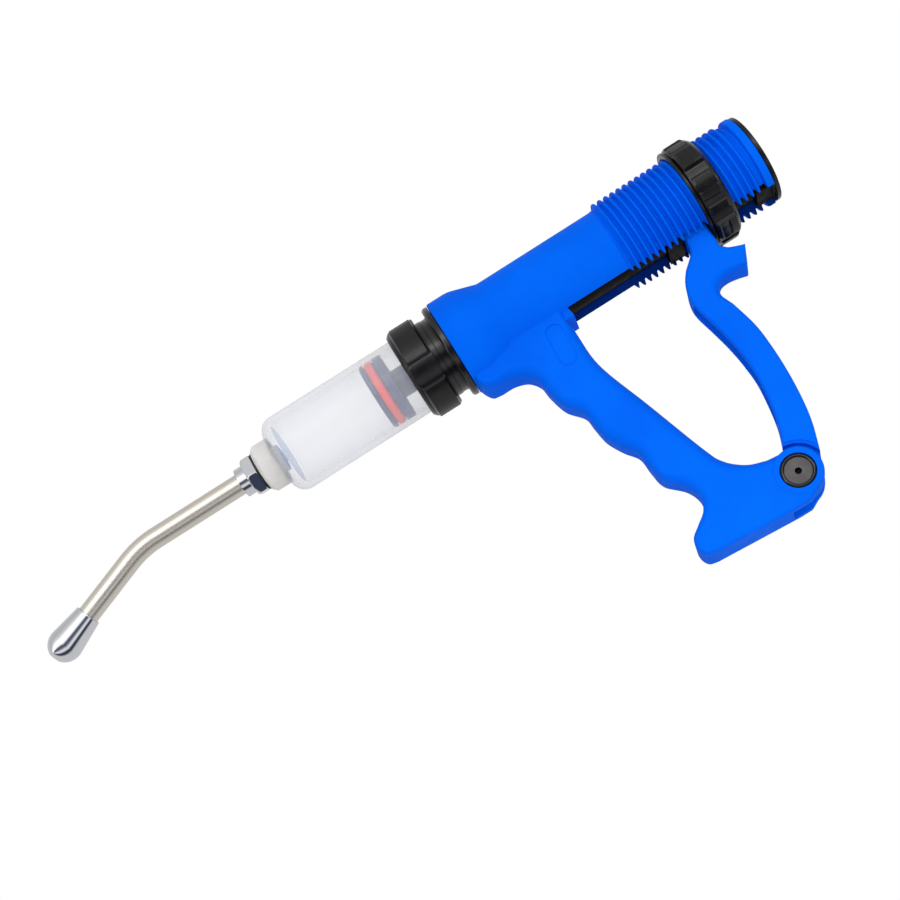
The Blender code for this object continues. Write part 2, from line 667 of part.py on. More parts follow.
def build_nozzle_nut():
    """The hexagon nut, with its threaded spigot in the hub and its collar round the tube."""
    hex_front = HEX_REAR - HEX_THICK
    hex_r = HEX_FLATS / 2 / cos(radians(30))
    hex_profile = [(HEX_REAR, 0.0), (HEX_REAR, hex_r), (hex_front, hex_r), (hex_front, 0.0)]
    place = Matrix.Rotation(HEX_TURN, 4, "X")
    nut = add_mesh("nozzle_nut", turned(hex_profile, 6, place), CHROME)
    chamfer_profile = [
        (HEX_REAR + 1.0, 0.0), (HEX_REAR + 1.0, hex_r - 0.2), (hex_front + 1.6, hex_r - 0.2),
        (hex_front - 0.5, hex_r - 3.2), (hex_front - 0.5, 0.0),
    ]
    combine(nut, add_mesh("hex_chamfer", turned(chamfer_profile, 24)), "INTERSECT")
    spigot_r = HUB_BORE_R - BORE_GAP
    collar_front = hex_front - COLLAR_LENGTH
    stem_profile = [
        (SEAT_FRONT - FACE_GAP, 0.0), (SEAT_FRONT - FACE_GAP, spigot_r), (HEX_REAR - 1.0, spigot_r),
        (HEX_REAR - 1.0, COLLAR_R), (collar_front + 0.6, COLLAR_R), (collar_front, COLLAR_R - 0.6),
        (collar_front, 0.0),
    ]
    combine(nut, add_mesh("nut_stem", turned(stem_profile, SMALL_SIDES + 4)), "UNION")
    chamber_front = HEX_REAR - CHAMBER_DEPTH
    socket_r = TUBE_OUTER_R + FACE_GAP
    socket_rear = collar_front + TUBE_SOCKET
    bore_profile = [
        (SEAT_FRONT + 2.0, 0.0), (SEAT_FRONT + 2.0, VALVE_CHAMBER_R),
        (chamber_front, VALVE_CHAMBER_R), (chamber_front, 1.6), (socket_rear, 1.6),
        (socket_rear, socket_r), (collar_front - 2.0, socket_r), (collar_front - 2.0, 0.0),
    ]
    combine(nut, add_mesh("nut_bore", turned(bore_profile, SMALL_SIDES)), "DIFFERENCE")
    seal_rear = HUB_FRONT - 0.2
    seal_front = HEX_REAR + 0.2
    seal_profile = [
        (seal_rear, spigot_r + 0.4), (seal_rear, 9.2), (seal_front, 9.2),
        (seal_front, spigot_r + 0.4),
    ]
    add_mesh("nozzle_seal", turned(seal_profile, SMALL_SIDES + 4), BLACK_RUBBER)
    return socket_rear


def tube_stations(start, beyond_bend):
    """The tube's centre line as (x, z, slope): along the axis, round the bend, down to the tip."""
    bend_start = BEND_X + BEND_RADIUS * tan(BEND_ANGLE / 2)
    stations = [(start, 0.0, 0.0)]
    steps = 8
    for i in range(steps + 1):
        slope = BEND_ANGLE * i / steps
        x = bend_start - BEND_RADIUS * sin(slope)
        stations.append((x, -BEND_RADIUS * (1 - cos(slope)), slope))
    x = BEND_X - beyond_bend * cos(BEND_ANGLE)
    stations.append((x, -beyond_bend * sin(BEND_ANGLE), BEND_ANGLE))
    return stations


def hollow_tube(stations, outer_r, inner_r, sides):
    """A tube through the stations: out along its outside and back along its bore."""
    walls = [(s, outer_r) for s in stations] + [(s, inner_r) for s in reversed(stations)]
    bm = bmesh.new()
    rings = []
    for (x, z, slope), r in walls:
        ring = []
        for k in range(sides):
            across = r * cos(2 * pi * k / sides)
            y = r * sin(2 * pi * k / sides)
            ring.append(bm.verts.new((x - across * sin(slope), y, z + across * cos(slope))))
        rings.append(ring)
    for near, far in zip(rings, rings[1:] + rings[:1]):
        for k in range(sides):
            m = (k + 1) % sides
            bm.faces.new((near[k], near[m], far[m], far[k]))
    return bm


def build_nozzle(socket_rear):
    """The bent tube, and the rounded tip pressed over its end."""
    tube_end = TIP_START + TIP_SOCKET - FACE_GAP
    stations = tube_stations(socket_rear - FACE_GAP, tube_end)
    tube = hollow_tube(stations, TUBE_OUTER_R, TUBE_OUTER_R - TUBE_WALL, 16)
    add_mesh("nozzle_tube", tube, NICKEL)
    nose_start = -TIP_LENGTH + 7.8
    nose_end = acos((TIP_HOLE_R + 0.8) / TIP_FRONT_R)
    nose = []
    for i in range(7):
        angle = nose_end * i / 6
        nose.append((nose_start - 8.4 * sin(angle), TIP_FRONT_R * cos(angle)))
    front_face = nose[-1][0] - 0.1
    socket_r = TUBE_OUTER_R + FACE_GAP
    profile = [
        (0.0, socket_r), (0.0, TIP_REAR_R - 0.4), (-0.4, TIP_REAR_R), *nose,
        (front_face, TIP_HOLE_R), (-TIP_SOCKET, TIP_HOLE_R), (-TIP_SOCKET, socket_r),
    ]
    start = (BEND_X - TIP_START * cos(BEND_ANGLE), 0.0, -TIP_START * sin(BEND_ANGLE))
    place = Matrix.Translation(start) @ Matrix.Rotation(-BEND_ANGLE, 4, "Y")
    add_mesh("nozzle_tip", turned(profile, 24, place), CHROME, start)


# Piston, feed rod, carrier and springs

def build_piston():
    """The piston head with its red ring, and the inlet valve inside it."""
    land_r = BARREL_R - BARREL_WALL - SLIDE_GAP
    rear = PISTON_FRONT + PISTON_LENGTH
    groove_front = PISTON_FRONT + 2.1
    groove_rear = groove_front + 2 * RING_SECTION_R + 0.7
    ring_centre_r = BARREL_R - BARREL_WALL - 0.25 - RING_SECTION_R
    groove_r = ring_centre_r - RING_SECTION_R - 0.3
    rod_hole_r = ROD_R + BORE_GAP
    profile = [
        (PISTON_FRONT, land_r - 1.0), (PISTON_FRONT + 1.0, land_r), (groove_front, land_r),
        (groove_front, groove_r), (groove_rear, groove_r), (groove_rear, land_r),
        (rear, land_r), (rear, 7.0), (PISTON_HUB_REAR, 7.0), (PISTON_HUB_REAR, rod_hole_r),
        (ROD_FRONT - FACE_GAP, rod_hole_r), (ROD_FRONT - FACE_GAP, 1.7), (INLET_SEAT, 1.7),
        (INLET_SEAT, INLET_CHAMBER_R), (PISTON_FRONT, INLET_CHAMBER_R),
    ]
    add_mesh("piston_head", turned(profile), BLACK_PLASTIC)
    ring_x = (groove_front + groove_rear) / 2
    ring_profile = arc((ring_x, ring_centre_r), RING_SECTION_R, 0, 360, 8)[:-1]
    add_mesh("piston_o_ring", turned(ring_profile), RED_RUBBER)
    ball_x = INLET_SEAT - sqrt(INLET_BALL_R ** 2 - 1.7 ** 2) - 0.25
    ball_profile = arc((ball_x, 0.0), INLET_BALL_R, 0, 180, 8)
    add_mesh("inlet_valve_ball", turned(clean_poles(ball_profile), 16), STEEL, (ball_x, 0, 0))
    cage_rear = PISTON_FRONT + 2.0
    cage_front = PISTON_FRONT + 0.3
    cage_r = INLET_CHAMBER_R - BORE_GAP
    cage_profile = [
        (cage_front, 1.2), (cage_front, cage_r), (cage_rear, cage_r), (cage_rear, 1.2),
    ]
    add_mesh("inlet_valve_cage", turned(cage_profile, SMALL_SIDES), WHITE_PLASTIC)
    coil_rear = spring_start(ball_x, INLET_BALL_R, 1.8, 0.3)
    coil_spring("inlet_valve_spring", cage_rear + 0.55, coil_rear, 1.8, 0.3, 3)


def build_plunger(washer_rear):
    """The carrier with its guide key, the feed rod, its lock nut, the hose barb and the spring."""
    rear = DRIVE_HEAD[0] - DRIVE_HEAD_R - FACE_GAP
    block_front = rear - DRIVE_BLOCK_LENGTH
    floor = block_front + LOCK_POCKET_DEPTH
    rod_hole_r = ROD_R + BORE_GAP
    carrier_profile = [
        (CARRIER_FRONT, CARRIER_R), (rear, CARRIER_R), (rear, rod_hole_r), (floor, rod_hole_r),
        (floor, LOCK_POCKET_R), (block_front, LOCK_POCKET_R), (block_front, CARRIER_INNER_R),
        (CARRIER_FRONT, CARRIER_INNER_R),
    ]
    carrier = add_mesh("plunger_carrier", turned(carrier_profile), BLACK_PLASTIC)
    key_half = SLOT_WIDTH / 2 - BORE_GAP
    key = box(floor, rear, key_half, -TUBE_R + 1.0, -CARRIER_R + 4.0)
    combine(carrier, add_mesh("carrier_key", key), "UNION")
    collar_rear = floor - FACE_GAP
    collar_front = collar_rear - ROD_COLLAR_THICK
    rod_profile = [
        (ROD_FRONT, ROD_BORE_R), (ROD_FRONT, ROD_R), (collar_front, ROD_R),
        (collar_front, ROD_COLLAR_R), (collar_rear, ROD_COLLAR_R), (collar_rear, ROD_R),
        (ROD_REAR, ROD_R), (ROD_REAR, ROD_BORE_R),
    ]
    add_mesh("feed_rod", turned(rod_profile, SMALL_SIDES), STEEL)
    nut_rear = collar_front - FACE_GAP
    nut_front = block_front + FACE_GAP
    nut_r = LOCK_POCKET_R - BORE_GAP
    nut_profile = [
        (nut_front, rod_hole_r), (nut_front, nut_r), (nut_rear, nut_r), (nut_rear, rod_hole_r),
    ]
    add_mesh("rod_lock_nut", turned(nut_profile, SMALL_SIDES), STEEL)
    barb_front = DRIVE_HEAD[0] + 10.5
    socket_rear = ROD_REAR + FACE_GAP
    ridges = []
    for i in range(3):
        x = barb_front + 5.0 + 4.0 * i
        ridges += [(x, 4.3), (x, 5.2)]
    barb_rear = barb_front + 17.0
    barb_profile = [
        (barb_front, rod_hole_r), (barb_front, 6.2), (barb_front + 2.4, 6.2),
        (barb_front + 2.4, 4.6), *ridges, (barb_rear, 3.6), (barb_rear, 2.2),
        (socket_rear, 2.2), (socket_rear, rod_hole_r),
    ]
    add_mesh("hose_barb", turned(barb_profile, SMALL_SIDES), STEEL)
    coil_front = washer_rear + SPRING_WIRE_R + FACE_GAP
    coil_rear = block_front - SPRING_WIRE_R - FACE_GAP
    coil_spring("return_spring", coil_front, coil_rear, SPRING_MEAN_R, SPRING_WIRE_R, SPRING_TURNS)


# Stations worked out from the driving sizes
BARREL_REAR = ADAPTER_FRONT - GASKET_THICK - 2 * FACE_GAP
BARREL_FLANGE_FRONT = BARREL_REAR - 2.7
BARREL_FLANGE_R = BARREL_R + BARREL_FLANGE_STEP
NECK_THREAD_R = BARREL_FLANGE_R
NECK_R = NECK_THREAD_R - NECK_THREAD_DEPTH
RING_NUT_R = NECK_THREAD_R + RING_NUT_WALL
RING_NUT_PAD_R = RING_NUT_R + RING_NUT_PAD_HEIGHT
FLANGE_R = RING_NUT_R + FLANGE_STEP
BARREL_FLOOR = BARREL_FRONT + 5.5
VALVE_FLOOR = BARREL_FRONT + 3.0
SEAT_FRONT = VALVE_FLOOR - FACE_GAP - 3.2
HEX_REAR = HUB_FRONT - 1.1
HEX_TURN = radians(19.0)
CHAMBER_DEPTH = 2.9
GUIDE_HOLE_R = ROD_R + 1.8
INLET_CHAMBER_R = 5.2
INLET_SEAT = PISTON_FRONT + 10.5
ROD_FRONT = INLET_SEAT + 1.5

build_body_handle()
build_hinge_pin()
build_lever()
build_dose_nut()
build_end_cap()
build_front_adapter()
spring_seat = build_rod_guide()
build_barrel_nut()
build_barrel()
build_outlet_valve()
build_nozzle(build_nozzle_nut())
build_piston()
build_plunger(spring_seat)

lever_reach = hypot(DRIVE_HEAD[0] - HINGE[0], HINGE[1])
lean = asin((DRIVE_HEAD[0] - HINGE[0]) / lever_reach)
stroke = lever_reach * (sin(lean) - sin(lean - LEVER_SWING))
print(f"piston stroke for a full squeeze: {stroke:.2f} mm")
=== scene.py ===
"""Dosing syringe (drench gun): the visual model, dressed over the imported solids."""

import bmesh
import bpy
import numpy as np
from mathutils import Matrix


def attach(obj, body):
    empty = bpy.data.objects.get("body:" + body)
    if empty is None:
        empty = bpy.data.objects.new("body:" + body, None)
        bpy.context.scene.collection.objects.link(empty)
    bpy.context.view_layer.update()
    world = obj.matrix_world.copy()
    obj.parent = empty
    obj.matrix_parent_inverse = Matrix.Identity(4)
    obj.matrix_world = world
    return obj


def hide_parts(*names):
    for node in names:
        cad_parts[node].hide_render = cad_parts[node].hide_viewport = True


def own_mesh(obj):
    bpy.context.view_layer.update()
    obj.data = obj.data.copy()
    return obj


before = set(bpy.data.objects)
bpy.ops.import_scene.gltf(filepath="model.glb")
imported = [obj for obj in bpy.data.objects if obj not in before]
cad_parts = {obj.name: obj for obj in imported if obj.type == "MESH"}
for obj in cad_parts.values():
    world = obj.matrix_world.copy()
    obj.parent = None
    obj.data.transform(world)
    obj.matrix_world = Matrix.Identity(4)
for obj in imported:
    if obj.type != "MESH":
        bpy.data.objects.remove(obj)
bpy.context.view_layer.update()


# Camera and studio. The camera stands low on the gun's near side and is rolled, as in the
# photograph. All places are in the gun's millimetres: X along the barrel to the rear from the
# body's front face, Z up, and the camera side is -Y.
GRIP_MIDDLE = np.array([47.4, 0.0, -78.0])


def placed(points):
    """Points in gun millimetres, moved to the grip's middle and turned to metres."""
    return (np.asarray(points, float) - GRIP_MIDDLE) / 1000


CAMERA_TURN = np.radians(-1.3)
CAMERA_RISE = np.radians(-22.0)
CAMERA_ROLL = np.radians(31.8)
CAMERA_DISTANCE = 760.0
CAMERA_LENS = 66.88
BODY_FRONT_RIGHT = 1.59
BODY_FRONT_UP = 45.73

look = np.array([
    np.sin(CAMERA_TURN) * np.cos(CAMERA_RISE),
    np.cos(CAMERA_TURN) * np.cos(CAMERA_RISE),
    -np.sin(CAMERA_RISE),
])
level = np.array([np.cos(CAMERA_TURN), -np.sin(CAMERA_TURN), 0.0])
upright = np.cross(level, look)
right = level * np.cos(CAMERA_ROLL) - upright * np.sin(CAMERA_ROLL)
up = level * np.sin(CAMERA_ROLL) + upright * np.cos(CAMERA_ROLL)
stand = -(look * CAMERA_DISTANCE + right * BODY_FRONT_RIGHT + up * BODY_FRONT_UP)


def standing(right, up, back, place):
    """The matrix of an object at a place in metres, its X, Y and Z along three directions."""
    matrix = np.eye(4)
    matrix[:3] = np.stack([right, up, back, place], 1)
    return Matrix(matrix.tolist())


camera = bpy.data.objects.new("camera", bpy.data.cameras.new("camera"))
camera.data.lens = CAMERA_LENS
camera.data.clip_start = 0.01
camera.matrix_world = standing(right, up, -look, placed(stand))
bpy.context.scene.collection.objects.link(camera)
bpy.context.scene.camera = camera
bpy.context.scene.view_settings.view_transform = "Standard"


def added(tree, kind, inputs=None, **settings):
    """A node of the given kind in a tree, with its settings and then its own input values."""
    node = tree.nodes.new(f"ShaderNode{kind}")
    for setting, value in settings.items():
        setattr(node, setting, value)
    for socket, value in (inputs or {}).items():
        node.inputs[socket].default_value = value
    return node


def wired(tree, *links):
    """Links in a tree, each given as (node, output, next node, input)."""
    for node, output, following, entry in links:
        tree.links.new(node.outputs[output], following.inputs[entry])


# The floor is a wide pale sheet far below, which lights the gun's underside. Gloss and clear
# plastic look through it to the panels of the world.
FLOOR_DROP = -520.0
FLOOR_SIZE = 4.0
floor_mesh = bpy.data.meshes.new("floor")
floor_corners = np.array([[-1, -1], [1, -1], [1, 1], [-1, 1]]) * FLOOR_SIZE / 2
floor_level = placed([0.0, 0.0, FLOOR_DROP])[2]
floor_mesh.from_pydata([(x, y, floor_level) for x, y in floor_corners.tolist()], [], [(0, 1, 2, 3)])
floor = bpy.data.objects.new("floor", floor_mesh)
bpy.context.scene.collection.objects.link(floor)
floor_paint = bpy.data.materials.new("pale_floor")
floor_paint.use_nodes = True
floor_tree = floor_paint.node_tree
floor_shader = floor_tree.nodes["Principled BSDF"]
floor_shader.inputs["Base Color"].default_value = (0.86, 0.86, 0.86, 1.0)
floor_shader.inputs["Roughness"].default_value = 0.8
floor_rays = added(floor_tree, "LightPath")
floor_open = added(floor_tree, "Math", operation="MAXIMUM")
floor_gap = added(floor_tree, "BsdfTransparent")
floor_mix = added(floor_tree, "MixShader")
wired(
    floor_tree,
    (floor_rays, "Is Glossy Ray", floor_open, 0), (floor_rays, "Is Transmission Ray", floor_open, 1),
    (floor_open, 0, floor_mix, 0), (floor_shader, 0, floor_mix, 1), (floor_gap, 0, floor_mix, 2),
    (floor_mix, 0, floor_tree.nodes["Material Output"], "Surface"),
)
floor_mesh.materials.append(floor_paint)

# The world is a ring of soft panels round the barrel's axis: (degrees down from the camera side,
# brightness). Those darker than NAVY_BELOW are tinted navy. Gloss sees the panels, and the
# camera and clear plastic see plain white.
STUDIO_PANELS = [
    (-180, 0.66), (-120, 0.66), (-70, 0.55), (-50, 0.68), (-38, 0.80), (-29, 1.20), (-20, 1.30),
    (-18, 3.20), (-7, 3.20), (-4, 1.30), (5, 1.20), (12, 0.50), (17, 0.10), (29, 0.14), (36, 0.40),
    (46, 0.95), (55, 0.70), (63, 0.06), (79, 0.06), (86, 0.45), (95, 0.66), (180, 0.66),
]
NAVY_BELOW = 0.3
NAVY_TINT = np.array([-0.35, -0.1, 0.7])
world = bpy.data.worlds.new("studio")
bpy.context.scene.world = world
world.use_nodes = True
sky = world.node_tree
sky_where = added(sky, "TexCoord")
sky_axes = added(sky, "SeparateXYZ")
sky_down = added(sky, "Math", {1: -1.0}, operation="MULTIPLY")
sky_near = added(sky, "Math", {1: -1.0}, operation="MULTIPLY")
sky_turn = added(sky, "Math", operation="ARCTAN2")
sky_round = added(sky, "MapRange", {"From Min": -np.pi, "From Max": np.pi})
sky_panels = added(sky, "ValToRGB")
for number, (bearing, brightness) in enumerate(STUDIO_PANELS):
    place = (bearing + 180) / 360
    if number < 2:
        stop = sky_panels.color_ramp.elements[number]
        stop.position = number * place
    else:
        stop = sky_panels.color_ramp.elements.new(place)
    navy = max(0.0, 1.0 - brightness / NAVY_BELOW)
    stop.color = (*(brightness * (1.0 + navy * NAVY_TINT)), 1.0)
sky_seen = added(sky, "LightPath")
sky_through = added(sky, "Math", operation="MAXIMUM")
sky_mix = added(sky, "Mix", {"B": (1.0, 1.0, 1.0, 1.0)}, data_type="RGBA")
wired(
    sky,
    (sky_where, "Generated", sky_axes, 0), (sky_axes, "Z", sky_down, 0), (sky_axes, "Y", sky_near, 0),
    (sky_down, 0, sky_turn, 0), (sky_near, 0, sky_turn, 1), (sky_turn, 0, sky_round, "Value"),
    (sky_round, "Result", sky_panels, "Fac"),
    (sky_seen, "Is Camera Ray", sky_through, 0), (sky_seen, "Is Transmission Ray", sky_through, 1),
    (sky_through, 0, sky_mix, "Factor"), (sky_panels, "Color", sky_mix, "A"),
    (sky_mix, "Result", sky.nodes["Background"], "Color"),
)

# Two soft lamps: one low in front for the underside, and one high in front for the top
LAMP_AIM = np.array([20.0, 0.0, -40.0])


def soft_box(name, place, size, power):
    """A square lamp at a point in gun millimetres, aimed at the gun and not mirrored by gloss."""
    lamp = bpy.data.lights.new(name, "AREA")
    lamp.size = size
    lamp.energy = power
    box = bpy.data.objects.new(name, lamp)
    aim = placed(LAMP_AIM) - placed(place)
    aim /= np.linalg.norm(aim)
    side = np.cross(aim, [0.0, 1.0, 0.01])
    side /= np.linalg.norm(side)
    over = np.cross(side, aim)
    box.matrix_world = standing(side, over, -aim, placed(place))
    box.visible_glossy = False
    bpy.context.scene.collection.objects.link(box)


soft_box("low_fill", (60.0, -260.0, -480.0), 0.5, 2.0)
soft_box("top_fill", (-100.0, -500.0, 1000.0), 0.9, 3.2)


# Blue body: one moulding of glass-filled nylon with the barrel tube, its flare, the coarse
# right-hand thread for the dose nut, the slot that the plunger's key runs in, and the handle.
TUBE_R = 19.4
TUBE_BORE_R = 16.2
TUBE_REAR = 159.3
FLARE_R = 23.6
FLARE_REAR = 11.0
FLARE_TAPER_REAR = 24.5
SPIGOT_SOCKET_R = 19.3
SPIGOT_SOCKET_DEPTH = 9.9
THREAD_CREST_R = 22.0
THREAD_PITCH = 3.3
THREAD_FRONT = 85.0
THREAD_TURNS = 21
REAR_LAND_FRONT = 155.3
SLOT_HALF_WIDTH = 9.5
SLOT_FRONT = 52.0
HANDLE_HALF_WIDTH = 10.5
HINGE = np.array([93.8, -136.4])
EAR_R = 10.8
EAR_GAP_HALF_WIDTH = 5.0
EAR_GAP_TOP = -118.0

# Points down the handle's front with its finger grips, round the foot, and up the rear. Its top
# runs on into the tube.
HANDLE_FRONT = [
    (1.2, -18.0), (0.4, -23.0), (2.8, -27.6), (7.5, -29.2), (14.3, -29.8), (20.2, -32.4),
    (23.8, -37.6), (24.6, -44.6), (27.1, -53.5), (32.6, -61.2), (33.4, -68.0), (34.5, -75.9),
    (38.2, -83.9), (42.6, -90.6), (43.2, -99.0), (44.7, -106.6), (51.6, -114.6), (54.1, -122.0),
    (51.8, -128.6), (46.4, -133.0), (42.0, -136.6), (40.7, -141.4), (42.4, -145.4), (46.2, -146.8),
]
FOOT_HEEL = [(66.0, -148.15), (86.0, -149.5), (92.0, -149.45)]
HANDLE_REAR = [
    (85.8, -124.6), (77.8, -121.2), (70.9, -114.2), (67.2, -105.6), (58.3, -74.6), (50.4, -47.0),
    (49.9, -27.2), (49.9, -15.0),
]


def rounded(corners, steps=5):
    """A closed section whose corners (x, r, cut) are softened.

    Each corner becomes a quadratic curve with the corner as its middle handle. It starts and
    ends on the two sides, at the distance cut from the corner.
    """
    corners = np.asarray(corners, float)
    place, cut = corners[:, :2], corners[:, 2:3]
    before = np.roll(place, 1, axis=0) - place
    after = np.roll(place, -1, axis=0) - place
    before /= np.maximum(np.linalg.norm(before, axis=1, keepdims=True), 1e-9)
    after /= np.maximum(np.linalg.norm(after, axis=1, keepdims=True), 1e-9)
    t = np.linspace(0, 1, steps + 1)[:, None, None]
    curve = (1 - t) ** 2 * (place + before * cut) + 2 * t * (1 - t) * place
    curve = curve + t ** 2 * (place + after * cut)
    return curve.transpose(1, 0, 2).reshape(-1, 2)


def flowing(points, steps=8):
    """A Catmull-Rom curve through side-view points, with the given steps in each span."""
    p = np.asarray(points, float)
    p = np.vstack([2 * p[0] - p[1], p, 2 * p[-1] - p[-2]])
    t = np.linspace(0, 1, steps, endpoint=False)[:, None, None]
    a, b, c, d = p[:-3], p[1:-2], p[2:-1], p[3:]
    curve = 0.5 * (
        2 * b + (c - a) * t + (2 * a - 5 * b + 4 * c - d) * t ** 2
        + (3 * b - a - 3 * c + d) * t ** 3
    )
    return np.vstack([curve.transpose(1, 0, 2).reshape(-1, 2), p[-2:-1]])


def arc(centre, radius, start, end, steps):
    """Side-view points round part of a circle, in degrees from +X towards +Z."""
    turn = np.radians(np.linspace(start, end, steps + 1))
    return np.stack([centre[0] + radius * np.cos(turn), centre[1] + radius * np.sin(turn)], 1)


def about_barrel(x, radius, turn):
    """A grid of points round the barrel's axis, the turn counted from the camera side down."""
    x, radius, turn = np.broadcast_arrays(x, radius, turn)
    return np.stack([x, -radius * np.cos(turn), -radius * np.sin(turn)], -1)


def revolved(section, sides=128):
    """A grid of a section (x, r) carried round the barrel's axis."""
    section = np.asarray(section, float)
    turn = np.linspace(0, 2 * np.pi, sides, endpoint=False)
    return about_barrel(section[:, :1], section[:, 1:], turn)


def across_hinge(section, sides=64):
    """A grid of a section (y, r) carried round the hinge's axis."""
    section = np.asarray(section, float)
    turn = np.linspace(0, 2 * np.pi, sides, endpoint=False)
    y, r = section[:, :1], section[:, 1:]
    return np.stack([HINGE[0] + r * np.cos(turn), y + 0 * turn, HINGE[1] + r * np.sin(turn)], -1)


def skin(name, grid, closed=(True, True), caps=(False, False), sharp=34.0):
    """A piece from a grid of points: every point is joined to its neighbours along both counts.

    closed says whether rows and columns come back to their start. caps puts one flat face over
    the first and the last row.
    """
    rows, columns = grid.shape[:2]
    index = np.arange(rows * columns).reshape(rows, columns)
    lower, upper = index[0], index[-1]
    if closed[0]:
        index = np.vstack([index, index[:1]])
    if closed[1]:
        index = np.hstack([index, index[:, :1]])
    quads = np.stack(
        [index[:-1, :-1], index[1:, :-1], index[1:, 1:], index[:-1, 1:]], -1
    ).reshape(-1, 4).tolist()
    if caps[0]:
        quads.append(lower.tolist())
    if caps[1]:
        quads.append(upper[::-1].tolist())
    mesh = bpy.data.meshes.new(name)
    mesh.from_pydata(placed(grid.reshape(-1, 3)).tolist(), [], quads)
    clean = bmesh.new()
    clean.from_mesh(mesh)
    bmesh.ops.remove_doubles(clean, verts=clean.verts, dist=2e-7)
    bmesh.ops.recalc_face_normals(clean, faces=clean.faces)
    clean.to_mesh(mesh)
    clean.free()
    mesh.shade_smooth()
    mesh.set_sharp_from_angle(angle=np.radians(sharp))
    piece = bpy.data.objects.new(name, mesh)
    bpy.context.scene.collection.objects.link(piece)
    return piece


def moulded(name, outline, half_width, edge_r, middle=0.0, steps=6, spacing=1.0):
    """A plate of a side-view outline: its rim is a quarter round that draws in to both faces.

    The quarter round is narrowed where the outline turns tighter than its radius. edge_r is a
    radius, or a function that gives one for each point of the outline.
    """
    outline = np.asarray(outline, float)
    loop = np.vstack([outline, outline[:1]])
    run = np.concatenate([[0], np.cumsum(np.linalg.norm(np.diff(loop, axis=0), axis=1))])
    count = int(run[-1] / spacing)
    even = np.linspace(0, run[-1], count, endpoint=False)
    line = np.stack([np.interp(even, run, loop[:, 0]), np.interp(even, run, loop[:, 1])], 1)
    edge = edge_r(line) if callable(edge_r) else np.full(count, edge_r)
    ahead = np.roll(line, -1, axis=0) - np.roll(line, 1, axis=0)
    ahead /= np.linalg.norm(ahead, axis=1, keepdims=True)
    area = np.sum(line[:, 0] * np.roll(line[:, 1], -1) - line[:, 1] * np.roll(line[:, 0], -1))
    inward = np.stack([-ahead[:, 1], ahead[:, 0]], 1) * np.sign(area)
    bend = np.sum((np.roll(inward, -1, axis=0) - np.roll(inward, 1, axis=0)) * ahead, axis=1)
    tightest = 2 * spacing / np.maximum(-bend, 1e-3)
    room = np.minimum(edge, 0.3 * tightest)
    reach = int(np.ceil(2.5 * edge.max() / spacing))
    shifts = range(-reach, reach + 1)
    room = np.min([np.roll(room, s) + 0.25 * abs(s) * spacing for s in shifts], axis=0)
    room = np.minimum(room, edge)[:, None]
    rise = np.linspace(0, np.pi / 2, steps + 1)
    inset = np.concatenate([1 - np.sin(rise), 1 - np.sin(rise[::-1])])
    drawn_in = np.concatenate([np.cos(rise) - 1, 1 - np.cos(rise[::-1])])
    side = np.repeat([-half_width, half_width], steps + 1)
    flat = line + room * inward * inset[:, None, None]
    across = middle + side[:, None] - edge * drawn_in[:, None]
    grid = np.stack([flat[..., 0], across, flat[..., 1]], -1)
    return skin(name, grid, closed=(False, True), caps=(True, True))


def combined(piece, tools, operation):
    """The piece joined with, or cut by, each closed tool in turn. The tools are used up."""
    for tool in tools:
        change = piece.modifiers.new(operation.title(), "BOOLEAN")
        change.operation = operation
        change.solver = "EXACT"
        change.object = tool
        bpy.context.view_layer.update()
        made = piece.evaluated_get(bpy.context.evaluated_depsgraph_get())
        mesh = bpy.data.meshes.new_from_object(made)
        old = piece.data
        piece.modifiers.clear()
        piece.data = mesh
        bpy.data.meshes.remove(old)
        bpy.data.objects.remove(tool)
    return piece


def finished(piece, material, body, nodes=(), sharp=34.0):
    """Gives a piece its material, slot, body and CAD nodes, and keeps big faces evenly shaded."""
    name = piece.name
    piece.data.name = name
    piece.data.materials.clear()
    piece.data.materials.append(material)
    piece.data.shade_smooth()
    piece.data.set_sharp_from_angle(angle=np.radians(sharp))
    even = piece.modifiers.new("Even shading", "WEIGHTED_NORMAL")
    even.keep_sharp = True
    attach(piece, body)
    if nodes:
        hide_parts(*nodes)
    return piece


# The thread is one ridge's section, repeated for every turn and shifted along the helix by the
# angle. The last column stands on the first, one pitch further on, and the two are merged. The
# ridges rise from nothing over THREAD_RUN_IN at both ends.
ridge_step = np.array([0.0, 0.12, 0.24, 0.34, 0.44, 0.54, 0.62, 0.70, 0.80, 0.90])
ridge_rise = np.array([0.0, 0.00, 0.28, 0.68, 0.94, 1.00, 0.98, 0.80, 0.42, 0.10])
THREAD_PHASE = -0.5
THREAD_RUN_IN = 1.6
turn = np.linspace(0, 2 * np.pi, 129)
thread_rear = THREAD_FRONT + THREAD_TURNS * THREAD_PITCH
count = (np.arange(-1, THREAD_TURNS + 2)[:, None] + ridge_step).reshape(-1, 1)
rise = np.tile(ridge_rise, THREAD_TURNS + 3).reshape(-1, 1)
station = THREAD_FRONT + THREAD_PITCH * (count + THREAD_PHASE + turn / (2 * np.pi))
run_in = np.clip(np.minimum(station - THREAD_FRONT, thread_rear - station) / THREAD_RUN_IN, 0, 1)
thread_r = TUBE_R + (THREAD_CREST_R - TUBE_R) * rise * run_in
thread_x = np.clip(station, THREAD_FRONT, thread_rear)
